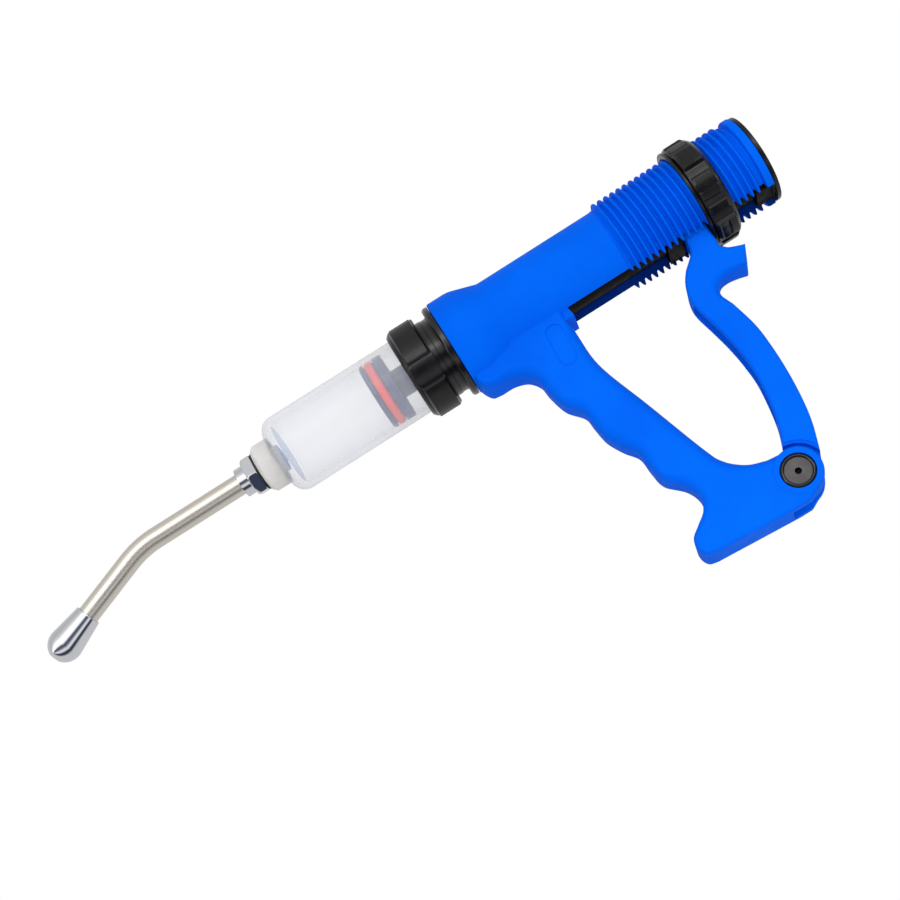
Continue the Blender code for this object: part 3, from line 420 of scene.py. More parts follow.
# The last two corners only close the section, so their points are left off
tube_front = rounded([
    (0.0, SPIGOT_SOCKET_R, 0.3), (0.0, FLARE_R, 0.9), (FLARE_REAR, FLARE_R, 2.6),
    (FLARE_TAPER_REAR, TUBE_R, 0.8), (TUBE_REAR / 2, TUBE_R, 0.0), (0.0, SPIGOT_SOCKET_R, 0.0),
])[:-12]
tube_rear = np.array([
    (thread_rear, TUBE_R), (thread_rear + 1.0, TUBE_R), (REAR_LAND_FRONT + 0.5, THREAD_CREST_R - 0.2),
    (REAR_LAND_FRONT + 1.0, THREAD_CREST_R), (TUBE_REAR - 0.5, THREAD_CREST_R),
    (TUBE_REAR - 0.1, THREAD_CREST_R - 0.15), (TUBE_REAR, THREAD_CREST_R - 0.5),
])
tube_turns = [
    (tube_front[:, :1], tube_front[:, 1:]), (thread_x, thread_r), (tube_rear[:, :1], tube_rear[:, 1:]),
]
body = skin("drencher_body", np.vstack([
    about_barrel(x, r, turn) for x, r in tube_turns
]), closed=(False, False), caps=(True, True))
handle_line = np.vstack([
    flowing(HANDLE_FRONT), FOOT_HEEL, arc(HINGE, EAR_R, -62, 85, 24), flowing(HANDLE_REAR),
    [(49.9, -9.0), (1.2, -9.0)],
])


def handle_edge(line):
    """3 mm at the foot, growing to 6.3 mm above it."""
    return np.interp(line[:, 1], [-130.0, -116.0], [3.0, 6.3])


# The end block closes the slot's front, and the boss thickens the handle round the hinge pin
handle = moulded("handle", handle_line, HANDLE_HALF_WIDTH, handle_edge)
end_block = moulded(
    "end_block", [(42.0, -21.2), (54.4, -21.2), (57.0, -18.4), (57.0, -9.0), (42.0, -9.0)],
    SLOT_HALF_WIDTH - 1.0, 0.8, spacing=0.5,
)
hinge_boss = skin("hinge_boss", across_hinge([
    (-10.9, 0.0), (-10.9, 9.8), (-10.75, 10.3), (-10.4, 10.6), (-9.0, 10.8), (9.0, 10.8),
    (10.4, 10.6), (10.75, 10.3), (10.9, 9.8), (10.9, 0.0),
]), closed=(False, True))
combined(body, [handle, hinge_boss, end_block], "UNION")

# Cut out: the bore with its wide socket for the adapter, the slot for the key, the gap between
# the two ears, the pin's hole with room for its head and cap, and an oval recess in each side
bore = skin("bore", revolved([
    (-5.0, 0.0), (-5.0, SPIGOT_SOCKET_R), (SPIGOT_SOCKET_DEPTH, SPIGOT_SOCKET_R),
    (SPIGOT_SOCKET_DEPTH, TUBE_BORE_R), (TUBE_REAR + 5, TUBE_BORE_R), (TUBE_REAR + 5, 0.0),
]), closed=(False, True))
slot = moulded("slot", [
    (SLOT_FRONT - 1.2, -5.0), (SLOT_FRONT + 2.4, -28.0), (TUBE_REAR + 5, -28.0), (TUBE_REAR + 5, -5.0),
], SLOT_HALF_WIDTH, 0.01, steps=1, spacing=8.0)
ear_slot = moulded("ear_slot", [
    (HINGE[0] - EAR_R, EAR_GAP_TOP), (HINGE[0] - EAR_R, HINGE[1] - 20),
    (HINGE[0] + 20, HINGE[1] - 20), (HINGE[0] + 20, EAR_GAP_TOP),
], EAR_GAP_HALF_WIDTH, 0.01, steps=1, spacing=4.0)
pin_hole = skin("pin_hole", across_hinge([
    (-20.0, 0.0), (-20.0, 7.8), (-8.7, 7.8), (-8.7, 3.8), (8.7, 3.8), (8.7, 7.8), (20.0, 7.8),
    (20.0, 0.0),
], 59), closed=(False, True))
RECESS_R = 4.15
RECESS_TOP = (41.6, -24.2)
RECESS_FOOT = (40.4, -37.6)
RECESS_DEPTH = 0.6
oval_line = np.vstack([arc(RECESS_TOP, RECESS_R, 0, 180, 16), arc(RECESS_FOOT, RECESS_R, 180, 360, 16)])
oval_middle = HANDLE_HALF_WIDTH - RECESS_DEPTH + 2.0
ovals = [moulded(f"oval_{side}", oval_line, 2.0, 0.3, middle=side * oval_middle) for side in (-1, 1)]
combined(body, [bore, slot, ear_slot, pin_hole, *ovals], "DIFFERENCE")


def moulded_grain():
    """The skin of a moulded plastic: broad cloudy shade, fine grain in the relief, and scuffs.

    One noise mixes the colour with its shade, a second one lifts the roughness in patches,
    and the finest noise is the height of the relief.
    """
    group = bpy.data.node_groups.new("moulded_grain", "ShaderNodeTree")
    for name, kind in (("Colour", "Color"), ("Shade", "Color"), ("Cloud Scale", "Float"),
                       ("Grain Scale", "Float"), ("Grain Depth", "Float"), ("Smooth", "Float"),
                       ("Rough", "Float")):
        group.interface.new_socket(name, in_out="INPUT", socket_type=f"NodeSocket{kind}")
    for name, kind in (("Colour", "Color"), ("Roughness", "Float"), ("Normal", "Vector")):
        group.interface.new_socket(name, in_out="OUTPUT", socket_type=f"NodeSocket{kind}")
    enter = group.nodes.new("NodeGroupInput")
    leave = group.nodes.new("NodeGroupOutput")
    where = added(group, "TexCoord")
    broad = added(group, "TexNoise", {"Detail": 3.0})
    patches = added(group, "TexNoise", {"Detail": 6.0, "Scale": 160.0})
    grain = added(group, "TexNoise", {"Detail": 2.0})
    spread = added(group, "MapRange", {"From Min": 0.35, "From Max": 0.65})
    mix = added(group, "Mix", data_type="RGBA")
    rough = added(group, "MapRange", {"From Min": 0.35, "From Max": 0.7})
    relief = added(group, "Bump", {"Distance": 0.0001})
    wired(
        group,
        (where, "Object", broad, "Vector"), (enter, "Cloud Scale", broad, "Scale"),
        (broad, "Fac", spread, "Value"), (spread, "Result", mix, "Factor"),
        (enter, "Colour", mix, "A"), (enter, "Shade", mix, "B"), (mix, "Result", leave, "Colour"),
        (where, "Object", patches, "Vector"), (patches, "Fac", rough, "Value"),
        (enter, "Smooth", rough, "To Min"), (enter, "Rough", rough, "To Max"),
        (rough, "Result", leave, "Roughness"),
        (where, "Object", grain, "Vector"), (enter, "Grain Scale", grain, "Scale"),
        (grain, "Fac", relief, "Height"), (enter, "Grain Depth", relief, "Strength"),
        (relief, "Normal", leave, "Normal"),
    )
    return group


GRAIN = moulded_grain()


GRAIN_SCALE = 1800.0


def plastic(name, colour, shade, smooth, rough, grain_depth, cloud=30.0, specular=0.5):
    """A moulded plastic's material: its own colours and finish through the shared grain."""
    paint = bpy.data.materials.new(name)
    paint.use_nodes = True
    tree = paint.node_tree
    shader = tree.nodes["Principled BSDF"]
    shader.inputs["Specular IOR Level"].default_value = specular
    grain = added(tree, "Group", {
        "Colour": (*colour, 1.0), "Shade": (*shade, 1.0), "Cloud Scale": cloud,
        "Grain Scale": GRAIN_SCALE, "Grain Depth": grain_depth, "Smooth": smooth, "Rough": rough,
    }, node_tree=GRAIN)
    wired(tree, (grain, "Colour", shader, "Base Color"), (grain, "Roughness", shader, "Roughness"),
          (grain, "Normal", shader, "Normal"))
    return paint


blue = plastic("blue_nylon", (0.0, 0.106, 0.71), (0.0, 0.093, 0.655), 0.45, 0.6, 0.25, specular=0.016)
# Painted shade: a deep blue for the inside of the tube and the slot's walls, where light hardly reaches
bore_painted_shade = plastic(
    "blue_nylon_bore_painted_shade", (0.0, 0.022, 0.20), (0.0, 0.035, 0.29), 0.3, 0.5, 0.2, specular=0.15)
finished(body, blue, "body", ["body_handle"])


def faces_of(piece):
    """Each face's middle in gun millimetres and its outward direction."""
    middle = np.empty(len(piece.data.polygons) * 3)
    piece.data.polygons.foreach_get("center", middle)
    facing = np.empty_like(middle)
    piece.data.polygons.foreach_get("normal", facing)
    return middle.reshape(-1, 3) * 1000 + GRIP_MIDDLE, facing.reshape(-1, 3)


def second_finish(piece, material, where):
    """Puts a second material on the faces for which where is true."""
    piece.data.materials.append(material)
    number = len(piece.data.materials) - 1
    chosen = np.empty(len(piece.data.polygons), np.int32)
    piece.data.polygons.foreach_get("material_index", chosen)
    piece.data.polygons.foreach_set("material_index", np.where(where, number, chosen).astype(np.int32))


# The bore and the slot's two walls are painted dark blue as the shade inside the tube, apart from their
# ends
SHADED_BORE_R = 18.6
SHADED_BORE_FRONT = 12.0
SHADED_BORE_REAR = 158.9
middle, facing = faces_of(body)
inside = np.hypot(middle[:, 1], middle[:, 2]) < SHADED_BORE_R
slot_wall = (np.abs(facing[:, 1]) > 0.9) & (np.abs(np.abs(middle[:, 1]) - SLOT_HALF_WIDTH) < 0.1)
slot_wall &= (middle[:, 2] < -12.0) & (middle[:, 2] > -22.5)
along = (middle[:, 0] > SHADED_BORE_FRONT) & (middle[:, 0] < SHADED_BORE_REAR)
second_finish(body, bore_painted_shade, (inside | slot_wall) & along)


# Front adapter: a black nylon part screwed into the flare. Its flange closes the blue tube, and
# the barrel's nut screws on its neck.
black = plastic(
    "black_nylon", (0.003, 0.003, 0.0035), (0.005, 0.005, 0.006), 0.16, 0.32, 0.2, specular=0.34)
adapter = skin("front_adapter_neck", revolved(rounded([
    (-15.6, 5.0, 0.2), (-15.6, 19.1, 0.3), (-14.6, 19.9, 0.2), (-13.6, 19.1, 0.2),
    (-12.2, 19.9, 0.2), (-11.2, 19.1, 0.2), (-9.0, 19.1, 0.1), (-6.7, 19.1, 0.15), (-6.5, 18.8, 0.1),
    (-4.1, 18.8, 0.2), (-3.9, 19.1, 0.1), (-3.4, 19.1, 0.1), (-3.4, 22.0, 0.3), (-2.4, 23.0, 0.4),
    (-0.3, 23.0, 0.3), (-0.3, 19.0, 0.2), (9.6, 19.0, 0.3), (9.6, 16.2, 0.3), (-9.9, 16.2, 0.3),
    (-9.9, 5.0, 0.3),
])))
neck_black = plastic(
    "black_nylon_turned", (0.003, 0.003, 0.0035), (0.004, 0.004, 0.005), 0.12, 0.2, 0.1)
finished(adapter, neck_black, "body", ["front_adapter"])


# Barrel nut: the black nylon ring that clamps the barrel's flange to the adapter. Four raised
# pads with a fine border give the hand its hold.
RING_NUT_FRONT = -23.4
RING_NUT_REAR = -9.0
RING_NUT_R = 22.1
RING_NUT_PAD_R = 23.4
RING_NUT_PAD_SPREAD = 56.0
RING_NUT_PAD_MIDDLE = -16.0
RING_NUT_PAD_FRONT = -21.2
RING_NUT_PAD_REAR = -9.9
RING_NUT_BORDER_DEPTH = 0.25


def between(value, start, end, ramp):
    """1 between start and end, falling to 0 over a ramp centred on each."""
    return np.clip((value - start) / ramp + 0.5, 0, 1) * np.clip((end - value) / ramp + 0.5, 0, 1)


def edged(start, end, spacing, edges, ramp):
    """Even steps from start to end, with closer ones where a ramp begins and ends."""
    edges = np.asarray(edges, float).reshape(-1, 1)
    close = edges + ramp * np.array([-0.75, -0.5, -0.25, 0.0, 0.25, 0.5, 0.75])
    steps = np.concatenate([np.arange(start, end, spacing), close.ravel(), [end]])
    steps = np.unique(np.round(steps[(steps >= start) & (steps <= end)], 4))
    return steps[np.concatenate([[True], np.diff(steps) > spacing * 0.02])]


def ribbed(x, outside, inner, degrees):
    """A grid round the barrel's axis: an outside with a radius for each place and angle, then
    plain rings (x, r) that lead back through the inside."""
    inner = np.asarray(inner, float)
    turn = np.radians(degrees)
    return np.vstack([
        about_barrel(x[:, None], outside, turn), about_barrel(inner[:, :1], inner[:, 1:], turn),
    ])


quarter = RING_NUT_PAD_MIDDLE + RING_NUT_PAD_SPREAD / 2 * np.array([-1.0, 1.0])
edges = (quarter[:, None] + 90 * np.arange(4)).ravel() % 360
degrees = edged(0.0, 360.0, 3.0, edges, 2.6)[:-1]
x = edged(RING_NUT_FRONT, RING_NUT_REAR, 0.8, [
    RING_NUT_PAD_FRONT, RING_NUT_PAD_REAR, RING_NUT_PAD_FRONT - 0.4,
], 0.9)
from_pad = (degrees[None, :] - RING_NUT_PAD_MIDDLE + 45) % 90 - 45
half = RING_NUT_PAD_SPREAD / 2
pad = between(x[:, None], RING_NUT_PAD_FRONT, RING_NUT_PAD_REAR, 0.9)
pad = pad * between(from_pad, -half, half, 2.6)
border = between(x[:, None], RING_NUT_PAD_FRONT - 0.8, RING_NUT_PAD_REAR + 0.5, 0.7)
border = border * between(from_pad, -half - 2.4, half + 2.4, 2.0)
base = np.interp(
    x, [-23.4, -23.1, -21.8, -21.2, -9.6, -9.2, -9.0], [20.2, 20.6, 21.8, 22.1, 22.1, 21.9, 21.4])
outside = base[:, None] + (RING_NUT_PAD_R - RING_NUT_R) * pad - RING_NUT_BORDER_DEPTH * (border - pad)
barrel_nut = skin("barrel_clamp_nut", ribbed(x, outside, [
    (RING_NUT_REAR, 20.2), (-20.3, 20.2), (-20.3, 19.15), (RING_NUT_FRONT, 19.15),
], degrees))
finished(barrel_nut, black, "body", ["barrel_nut"])


# Barrel: a milky polypropylene cylinder with a rear flange under the nut, a rounded front
# shoulder, and a thick hub that holds the outlet valve.
milky = bpy.data.materials.new("milky_polypropylene")
milky.use_nodes = True
milky_tree = milky.node_tree
milky_shader = milky_tree.nodes["Principled BSDF"]
milky_shader.inputs["IOR"].default_value = 1.45
# The wall hides more of what is behind it where it is seen edge on. Its faint clouds are drawn
# out along the barrel, as the plastic flowed into its mould.
milky_edge = added(milky_tree, "LayerWeight", {"Blend": 0.5})
milky_haze = added(milky_tree, "MapRange", {"To Min": 0.24, "To Max": 0.50}, name="haze")
milky_where = added(milky_tree, "TexCoord")
milky_draw = added(milky_tree, "Mapping", {"Scale": (0.15, 1.0, 1.0)})
milky_noise = added(milky_tree, "TexNoise", {"Scale": 140.0, "Detail": 1.0})
milky_colour = added(milky_tree, "Mix", {
    "A": (0.68, 0.695, 0.75, 1.0), "B": (0.64, 0.655, 0.71, 1.0),
}, data_type="RGBA")
milky_rough = added(milky_tree, "MapRange", {"To Min": 0.20, "To Max": 0.24})
wired(
    milky_tree,
    (milky_edge, "Facing", milky_haze, "Value"), (milky_haze, "Result", milky_shader, "Alpha"),
    (milky_where, "Object", milky_draw, "Vector"), (milky_draw, "Vector", milky_noise, "Vector"),
    (milky_noise, "Fac", milky_colour, "Factor"), (milky_colour, "Result", milky_shader, "Base Color"),
    (milky_noise, "Fac", milky_rough, "Value"), (milky_rough, "Result", milky_shader, "Roughness"),
)

BARREL_FLOOR = -89.0
BARREL_BORE_R = 16.5
HUB_REAR = -94.5
HUB_R = 11.75
shoulder = arc((-87.5, 11.85), 7.0, 90, 180, 14)
barrel_section = np.vstack([
    rounded([(-17.3, BARREL_BORE_R, 0.2), (-17.3, 19.9, 0.3), (-20.0, 19.9, 0.3), (-20.0, 18.85, 0.3)]),
    shoulder,
    rounded([(HUB_REAR, HUB_R, 0.6), (-101.6, HUB_R, 0.5), (-103.5, 9.85, 0.5), (-103.5, 6.5, 0.2),
             (-91.5, 6.5, 0.1), (-91.5, 2.6, 0.2), (BARREL_FLOOR, 2.6, 0.3), (BARREL_FLOOR, 15.0, 0.4),
             (-87.5, BARREL_BORE_R, 0.4)]),
])
barrel = skin("milky_barrel", revolved(barrel_section, 200))
finished(barrel, milky, "body", ["barrel"])
thick_wall = plastic("milky_polypropylene_thick", (0.60, 0.588, 0.572), (0.54, 0.528, 0.515),
                     0.45, 0.6, 0.1, 90.0, specular=0.2)
thick_shader = thick_wall.node_tree.nodes["Principled BSDF"]
thick_shader.inputs["Subsurface Weight"].default_value = 0.8
thick_shader.inputs["Subsurface Radius"].default_value = (1.0, 1.0, 1.0)
thick_shader.inputs["Subsurface Scale"].default_value = 0.012
# Painted light: an opaque light blue on the barrel's floor and in the hub's root, which brightens the
# shade there and hides the shaded valve seat behind it
floor_painted_light = plastic(
    "milky_polypropylene_floor_painted_light", (0.60, 0.72, 0.95), (0.68, 0.78, 0.97), 0.3, 0.4, 0.05, 90.0)
middle, facing = faces_of(barrel)
reach = np.hypot(middle[:, 1], middle[:, 2])
second_finish(barrel, thick_wall, (middle[:, 0] < HUB_REAR + 0.1) & (reach < HUB_R + 0.25))
clear_wall = milky.copy()
clear_wall.name = "milky_polypropylene_bore"
clear_wall.node_tree.nodes["haze"].inputs["To Min"].default_value = 0.10
clear_wall.node_tree.nodes["haze"].inputs["To Max"].default_value = 0.14
second_finish(barrel, clear_wall, (middle[:, 0] > BARREL_FLOOR - 0.1) & (reach < BARREL_BORE_R + 0.5))
floor_faces = (np.abs(middle[:, 0] - BARREL_FLOOR) < 0.1) & (reach < 13.5)
root_faces = (middle[:, 0] > HUB_REAR + 0.1) & (middle[:, 0] < BARREL_FLOOR + 0.1) & (reach < 7.0)
second_finish(barrel, floor_painted_light, floor_faces | root_faces)


# Barrel gasket: a black rubber ring that the nut squeezes between the barrel's flange and the
# adapter's neck, so that the dose can't leak past the thread.
gasket_rubber = plastic("black_rubber", (0.012, 0.012, 0.012), (0.02, 0.02, 0.02), 0.5, 0.7, 0.3)
gasket = skin("barrel_seal_ring", revolved(rounded([
    (-17.0, 16.8, 0.3), (-17.0, 19.7, 0.3), (-15.9, 19.7, 0.3), (-15.9, 16.8, 0.3),
])))
finished(gasket, gasket_rubber, "body", ["barrel_gasket"])


# Hub seal: a thin black rubber ring round the outlet, squeezed between the barrel's hub and the
# hexagon nut.
seal = skin("hub_seal", revolved(rounded([
    (-104.4, 6.6, 0.2), (-104.4, 9.2, 0.3), (-103.7, 9.2, 0.3), (-103.7, 6.6, 0.2),
])))
finished(seal, gasket_rubber, "body", ["nozzle_seal"])


# Hexagon nut: chrome-plated brass. Its stem screws into the hub and holds the outlet valve's
# spring, and the tube is soldered into its collar.
def polished(name, colour, shade, smooth, rough, stretch):
    """A plated metal: fine lines along the noise's stretched axis, and faint cloudy wiping."""
    plate = bpy.data.materials.new(name)
    plate.use_nodes = True
    tree = plate.node_tree
    shader = tree.nodes["Principled BSDF"]
    shader.inputs["Metallic"].default_value = 1.0
    where = added(tree, "TexCoord")
    draw = added(tree, "Mapping", {"Scale": stretch})
    lines = added(tree, "TexNoise", {"Scale": 60.0, "Detail": 5.0})
    mix = added(tree, "Mix", {"A": (*colour, 1.0), "B": (*shade, 1.0)}, data_type="RGBA")
    gloss = added(tree, "MapRange", {
        "From Min": 0.3, "From Max": 0.7, "To Min": smooth, "To Max": rough,
    })
    wired(tree, (where, "Object", draw, "Vector"), (draw, "Vector", lines, "Vector"),
          (lines, "Fac", mix, "Factor"), (mix, "Result", shader, "Base Color"),
          (lines, "Fac", gloss, "Value"), (gloss, "Result", shader, "Roughness"))
    return plate


chrome = polished("chrome_plate", (0.80, 0.81, 0.84), (0.70, 0.71, 0.74), 0.06, 0.14, (1.0, 1.0, 1.0))
nickel = polished("nickel_plate", (0.84, 0.79, 0.71), (0.74, 0.69, 0.61), 0.32, 0.42, (0.25, 1.0, 1.0))

HEX_FLATS = 17.5
HEX_REAR = -104.6
HEX_FRONT = -110.0
HEX_TURN = 19.0
HEX_CORNER = 29.3
hex_edges = np.arange(6) * 60.0 + (HEX_TURN % 60)
degrees = edged(0.0, 360.0, 3.0, hex_edges, 1.6)[:-1]
flat_angle = np.radians((degrees - HEX_TURN) % 60 - 30)
hex_r = np.minimum(HEX_FLATS / 2 / np.cos(flat_angle), HEX_FLATS / 2 / np.cos(np.radians(HEX_CORNER)))
x = np.concatenate([
    HEX_REAR - np.array([0.0, 0.25, 0.5, 0.8, 1.4, 2.7]), HEX_FRONT + np.array([1.8, 1.3, 0.9, 0.5, 0.1]),
])
cone = np.interp(x, [HEX_FRONT, HEX_FRONT + 1.7, HEX_REAR - 0.5, HEX_REAR], [8.4, 10.2, 10.2, 9.6])
stem = [
    (HEX_FRONT + 0.1, 7.6), (HEX_FRONT, 7.2), (HEX_FRONT, 7.0), (-114.0, 7.0), (-114.3, 6.9),
    (-114.5, 6.4), (-114.5, 5.27), (-108.7, 5.27), (-108.7, 1.6), (-107.5, 1.6), (-107.5, 3.6),
    (-96.2, 3.6), (-96.2, 6.2), (HEX_REAR + 0.2, 6.2), (HEX_REAR, 6.4),
]
hex_grid = ribbed(x, np.minimum(hex_r[None, :], cone[:, None]), stem, degrees)
hex_nut = skin("nozzle_hexagon", hex_grid, sharp=24.0)
finished(hex_nut, chrome, "body", ["nozzle_nut"], sharp=24.0)


# Drencher tube: drawn brass tube, bent once and nickel-plated. It carries the dose from the
# hexagon nut to the back of the animal's mouth.
NOZZLE_R = 4.97
NOZZLE_WALL = 0.9
BEND_X = -169.0
BEND_ANGLE = np.radians(22.3)
BEND_RADIUS = 42.0
NOZZLE_START = -109.0
BEYOND_BEND = 48.8


def carried(path, section, sides, up_hint=(0.0, 1.0, 0.0)):
    """A grid of circles of the given radii carried along a path, square to it at every point."""
    path = np.asarray(path, float)
    ahead = np.gradient(path, axis=0)
    ahead /= np.linalg.norm(ahead, axis=1, keepdims=True)
    side = np.cross(ahead, up_hint)
    side /= np.linalg.norm(side, axis=1, keepdims=True)
    over = np.cross(side, ahead)
    turn = np.linspace(0, 2 * np.pi, sides, endpoint=False)[None, :, None]
    radius = np.broadcast_to(section, len(path))[:, None, None]
    return path[:, None] + radius * (side[:, None] * np.cos(turn) + over[:, None] * np.sin(turn))


bend_start = BEND_X + BEND_RADIUS * np.tan(BEND_ANGLE / 2)
slope = np.linspace(0, BEND_ANGLE, 25)
straight = np.linspace(NOZZLE_START, bend_start, 16)[:-1]
bend_x = bend_start - BEND_RADIUS * np.sin(slope)
bend_z = -BEND_RADIUS * (1 - np.cos(slope))
beyond = np.linspace(BEND_RADIUS * np.tan(BEND_ANGLE / 2), BEYOND_BEND, 14)[1:]
line = np.vstack([
    np.stack([straight, 0 * straight, 0 * straight], 1),
    np.stack([bend_x, 0 * bend_x, bend_z], 1),
    np.stack([BEND_X - beyond * np.cos(BEND_ANGLE), 0 * beyond, -beyond * np.sin(BEND_ANGLE)], 1),
])
wall = np.vstack([carried(line, NOZZLE_R, 64), carried(line, NOZZLE_R - NOZZLE_WALL, 64)[::-1]])
nozzle = skin("drencher_tube", wall)
finished(nozzle, nickel, "body", ["nozzle_tube"])


# Tip: a turned and chrome-plated end, pressed over the tube. It widens to a smooth rounded nose
# with the outlet in its middle, so that it can't hurt the mouth.
TIP_START = 38.3
NOSE_START = -16.4
NOSE_LENGTH = 8.4
NOSE_R = 8.0
OUTLET_RIM_R = 3.0
nose_turn = np.linspace(0, np.arccos(OUTLET_RIM_R / NOSE_R), 20)
nose = np.stack([NOSE_START - NOSE_LENGTH * np.sin(nose_turn), NOSE_R * np.cos(nose_turn)], 1)
tip_section = np.vstack([
    rounded([(*nose[-1], 0.0), (nose[-1, 0] - 0.1, 2.2, 0.3), (-10.8, 2.2, 0.2), (-10.8, 5.27, 0.2),
             (0.0, 5.27, 0.1), (0.0, 6.0, 0.3), (-6.0, 6.75, 0.0)]),
    [(-11.0, 7.38), (-14.5, 7.82)], nose[:-1],
])
tip_grid = revolved(tip_section, 96)
tip_turn = np.array([[np.cos(BEND_ANGLE), 0, -np.sin(BEND_ANGLE)], [0, 1, 0],
                     [np.sin(BEND_ANGLE), 0, np.cos(BEND_ANGLE)]])
tip_start = np.array([BEND_X - TIP_START * np.cos(BEND_ANGLE), 0.0, -TIP_START * np.sin(BEND_ANGLE)])
tip = skin("drencher_tip", tip_grid @ tip_turn.T + tip_start)
finished(tip, chrome, "body", ["nozzle_tip"])


# Piston: a moulded acetal head on the end of the hollow rod, slate-blue as it looks through the
# milky barrel. The red silicone ring in its groove wipes the barrel.
piston = skin("piston", revolved(rounded([
    (-41.5, 5.2, 0.2), (-41.5, 15.1, 0.2), (-40.5, 16.1, 0.4), (-39.4, 16.1, 0.2), (-39.4, 11.65, 0.2),
    (-34.4, 11.65, 0.2), (-34.4, 16.1, 0.2), (-30.0, 16.1, 0.3), (-30.0, 7.0, 0.3),
    (-21.0, 7.0, 0.4), (-21.0, 3.5, 0.2), (-29.8, 3.5, 0.1), (-29.8, 1.7, 0.1), (-31.0, 1.7, 0.1),
    (-31.0, 5.2, 0.1),
])))
slate = plastic("slate_acetal", (0.012, 0.032, 0.15), (0.008, 0.022, 0.11), 0.25, 0.4, 0.15)
finished(piston, slate, "plunger", ["piston_head"])
red = plastic("red_silicone", (0.93, 0.03, 0.02), (0.86, 0.02, 0.014), 0.35, 0.5, 0.1)
o_ring = skin("piston_ring", revolved(arc((-36.9, 14.1), 2.15, 0, 345, 23)))
finished(o_ring, red, "plunger", ["piston_o_ring"])


# Feed rod: a drawn stainless tube. Liquid comes through it from the hose to the inlet valve in
# the piston. Its collar stands in the carrier's pocket.
steel = polished("stainless_steel", (0.58, 0.58, 0.60), (0.46, 0.46, 0.48), 0.2, 0.36, (0.2, 1.0, 1.0))
feed_rod = skin("feed_tube", revolved(rounded([
    (-29.5, 1.9, 0.2), (-29.5, 3.2, 0.4), (102.3, 3.2, 0.1), (102.3, 6.0, 0.3), (103.9, 6.0, 0.3),
    (103.9, 3.2, 0.1), (134.0, 3.2, 0.4), (134.0, 1.9, 0.2),
], 3), 48))
finished(feed_rod, steel, "plunger", ["feed_rod"])


# Ring nut: steel, screwed on the rod in the carrier's pocket, where it clamps the collar. Four
# notches take a pin spanner.
NOTCH_MIDDLES = [0, 90, 180, 270]
NOTCH_HALF_SPREAD = 9.0
NOTCH_DEPTH = 1.3
notch_edges = np.add.outer(NOTCH_MIDDLES, [-NOTCH_HALF_SPREAD, NOTCH_HALF_SPREAD]).ravel()
degrees = edged(0.0, 360.0, 5.0, notch_edges % 360, 2.0)[:-1]
from_notch = (degrees[None, :] + 45) % 90 - 45
notch = between(from_notch, -NOTCH_HALF_SPREAD, NOTCH_HALF_SPREAD, 2.0)
lock_x = np.array([98.3, 98.3, 98.7, 100.0, 101.6, 102.0, 102.0])[:, None]
lock_r = np.array([3.5, 8.8, 9.2, 9.2, 9.2, 8.8, 3.5])[:, None]
lock_r = np.where(lock_r > 5.0, lock_r - NOTCH_DEPTH * notch, lock_r)
lock_nut = skin("rod_ring_nut", about_barrel(lock_x, lock_r, np.radians(degrees)))
finished(lock_nut, steel, "plunger", ["rod_lock_nut"])


# Hose barb: turned steel, screwed on the rod's rear end. The supply hose is pushed over it and
# held by its three ridges.
barb_ridges = [(x + shift, r, cut) for x in (134.0, 138.0, 142.0)
               for shift, r, cut in ((-0.3, 4.35, 0.3), (0.0, 5.2, 0.15))]
barb = skin("supply_barb", revolved(rounded([
    (129.0, 3.5, 0.1), (129.0, 6.2, 0.4), (131.4, 6.2, 0.3), (131.4, 4.6, 0.3), *barb_ridges,
    (146.0, 3.6, 0.4), (146.0, 2.2, 0.2), (134.3, 2.2, 0.1), (134.3, 3.5, 0.1),
], 4), 64))
finished(barb, steel, "plunger", ["hose_barb"])


# Valves: a bright ball on a cone in the hub, and one in the piston head, each held by a light
# coil spring. The seat and the cage are turned from white acetal.
acetal = plastic("white_acetal", (0.72, 0.72, 0.70), (0.64, 0.64, 0.62), 0.3, 0.42, 0.1, 60.0)
ball_steel = polished("ball_steel", (0.66, 0.66, 0.68), (0.58, 0.58, 0.60), 0.05, 0.1, (1.0, 1.0, 1.0))
outlet_seat = skin("outlet_seat", revolved(rounded([
    (-95.0, 2.6, 0.1), (-95.0, 6.2, 0.3), (-91.8, 6.2, 0.3), (-91.8, 1.9, 0.2), (-94.3, 1.9, 0.1),
], 3), 64))
finished(outlet_seat, acetal, "body", ["outlet_valve_seat"])
inlet_cage = skin("inlet_cage", revolved(rounded([
    (-41.2, 1.2, 0.2), (-41.2, 4.9, 0.4), (-39.5, 4.9, 0.2), (-39.5, 1.2, 0.2),
], 3), 64))
finished(inlet_cage, acetal, "plunger", ["inlet_valve_cage"])
for side, ball_x, ball_r in (("outlet", -96.713, 2.8), ("inlet", -33.217, 2.6)):
    half_round = arc((ball_x, 0.0), ball_r, 0, 180, 20)
    ball = skin(f"{side}_ball", revolved(half_round, 40), closed=(False, True))
    finished(ball, ball_steel, f"{side}_ball", [f"{side}_valve_ball"])
spring_steel = polished(
    "spring_steel", (0.50, 0.50, 0.52), (0.38, 0.38, 0.40), 0.2, 0.34, (1.0, 1.0, 1.0))


def coil(name, front, rear, mean_r, wire_r, turns, body, node):
    """A spring of round wire on a helix whose first and last turns lie close to the next one."""
    count = np.linspace(0.0, turns, 40 * turns + 1)
    dead = 1.1 * 2 * wire_r
    x = np.interp(count, [0.0, 1.0, turns - 1.0, turns], [front, front + dead, rear - dead, rear])
    bend = 2 * np.pi * count
    path = np.stack([x, mean_r * np.cos(bend), mean_r * np.sin(bend)], 1)
    grid = carried(path, wire_r, 12, (1.0, 0.0, 0.0))
    wire = skin(name, grid, closed=(False, True), caps=(True, True), sharp=60.0)
    wire.data.materials.append(spring_steel)
    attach(wire, body)
    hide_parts(node)
    return wire


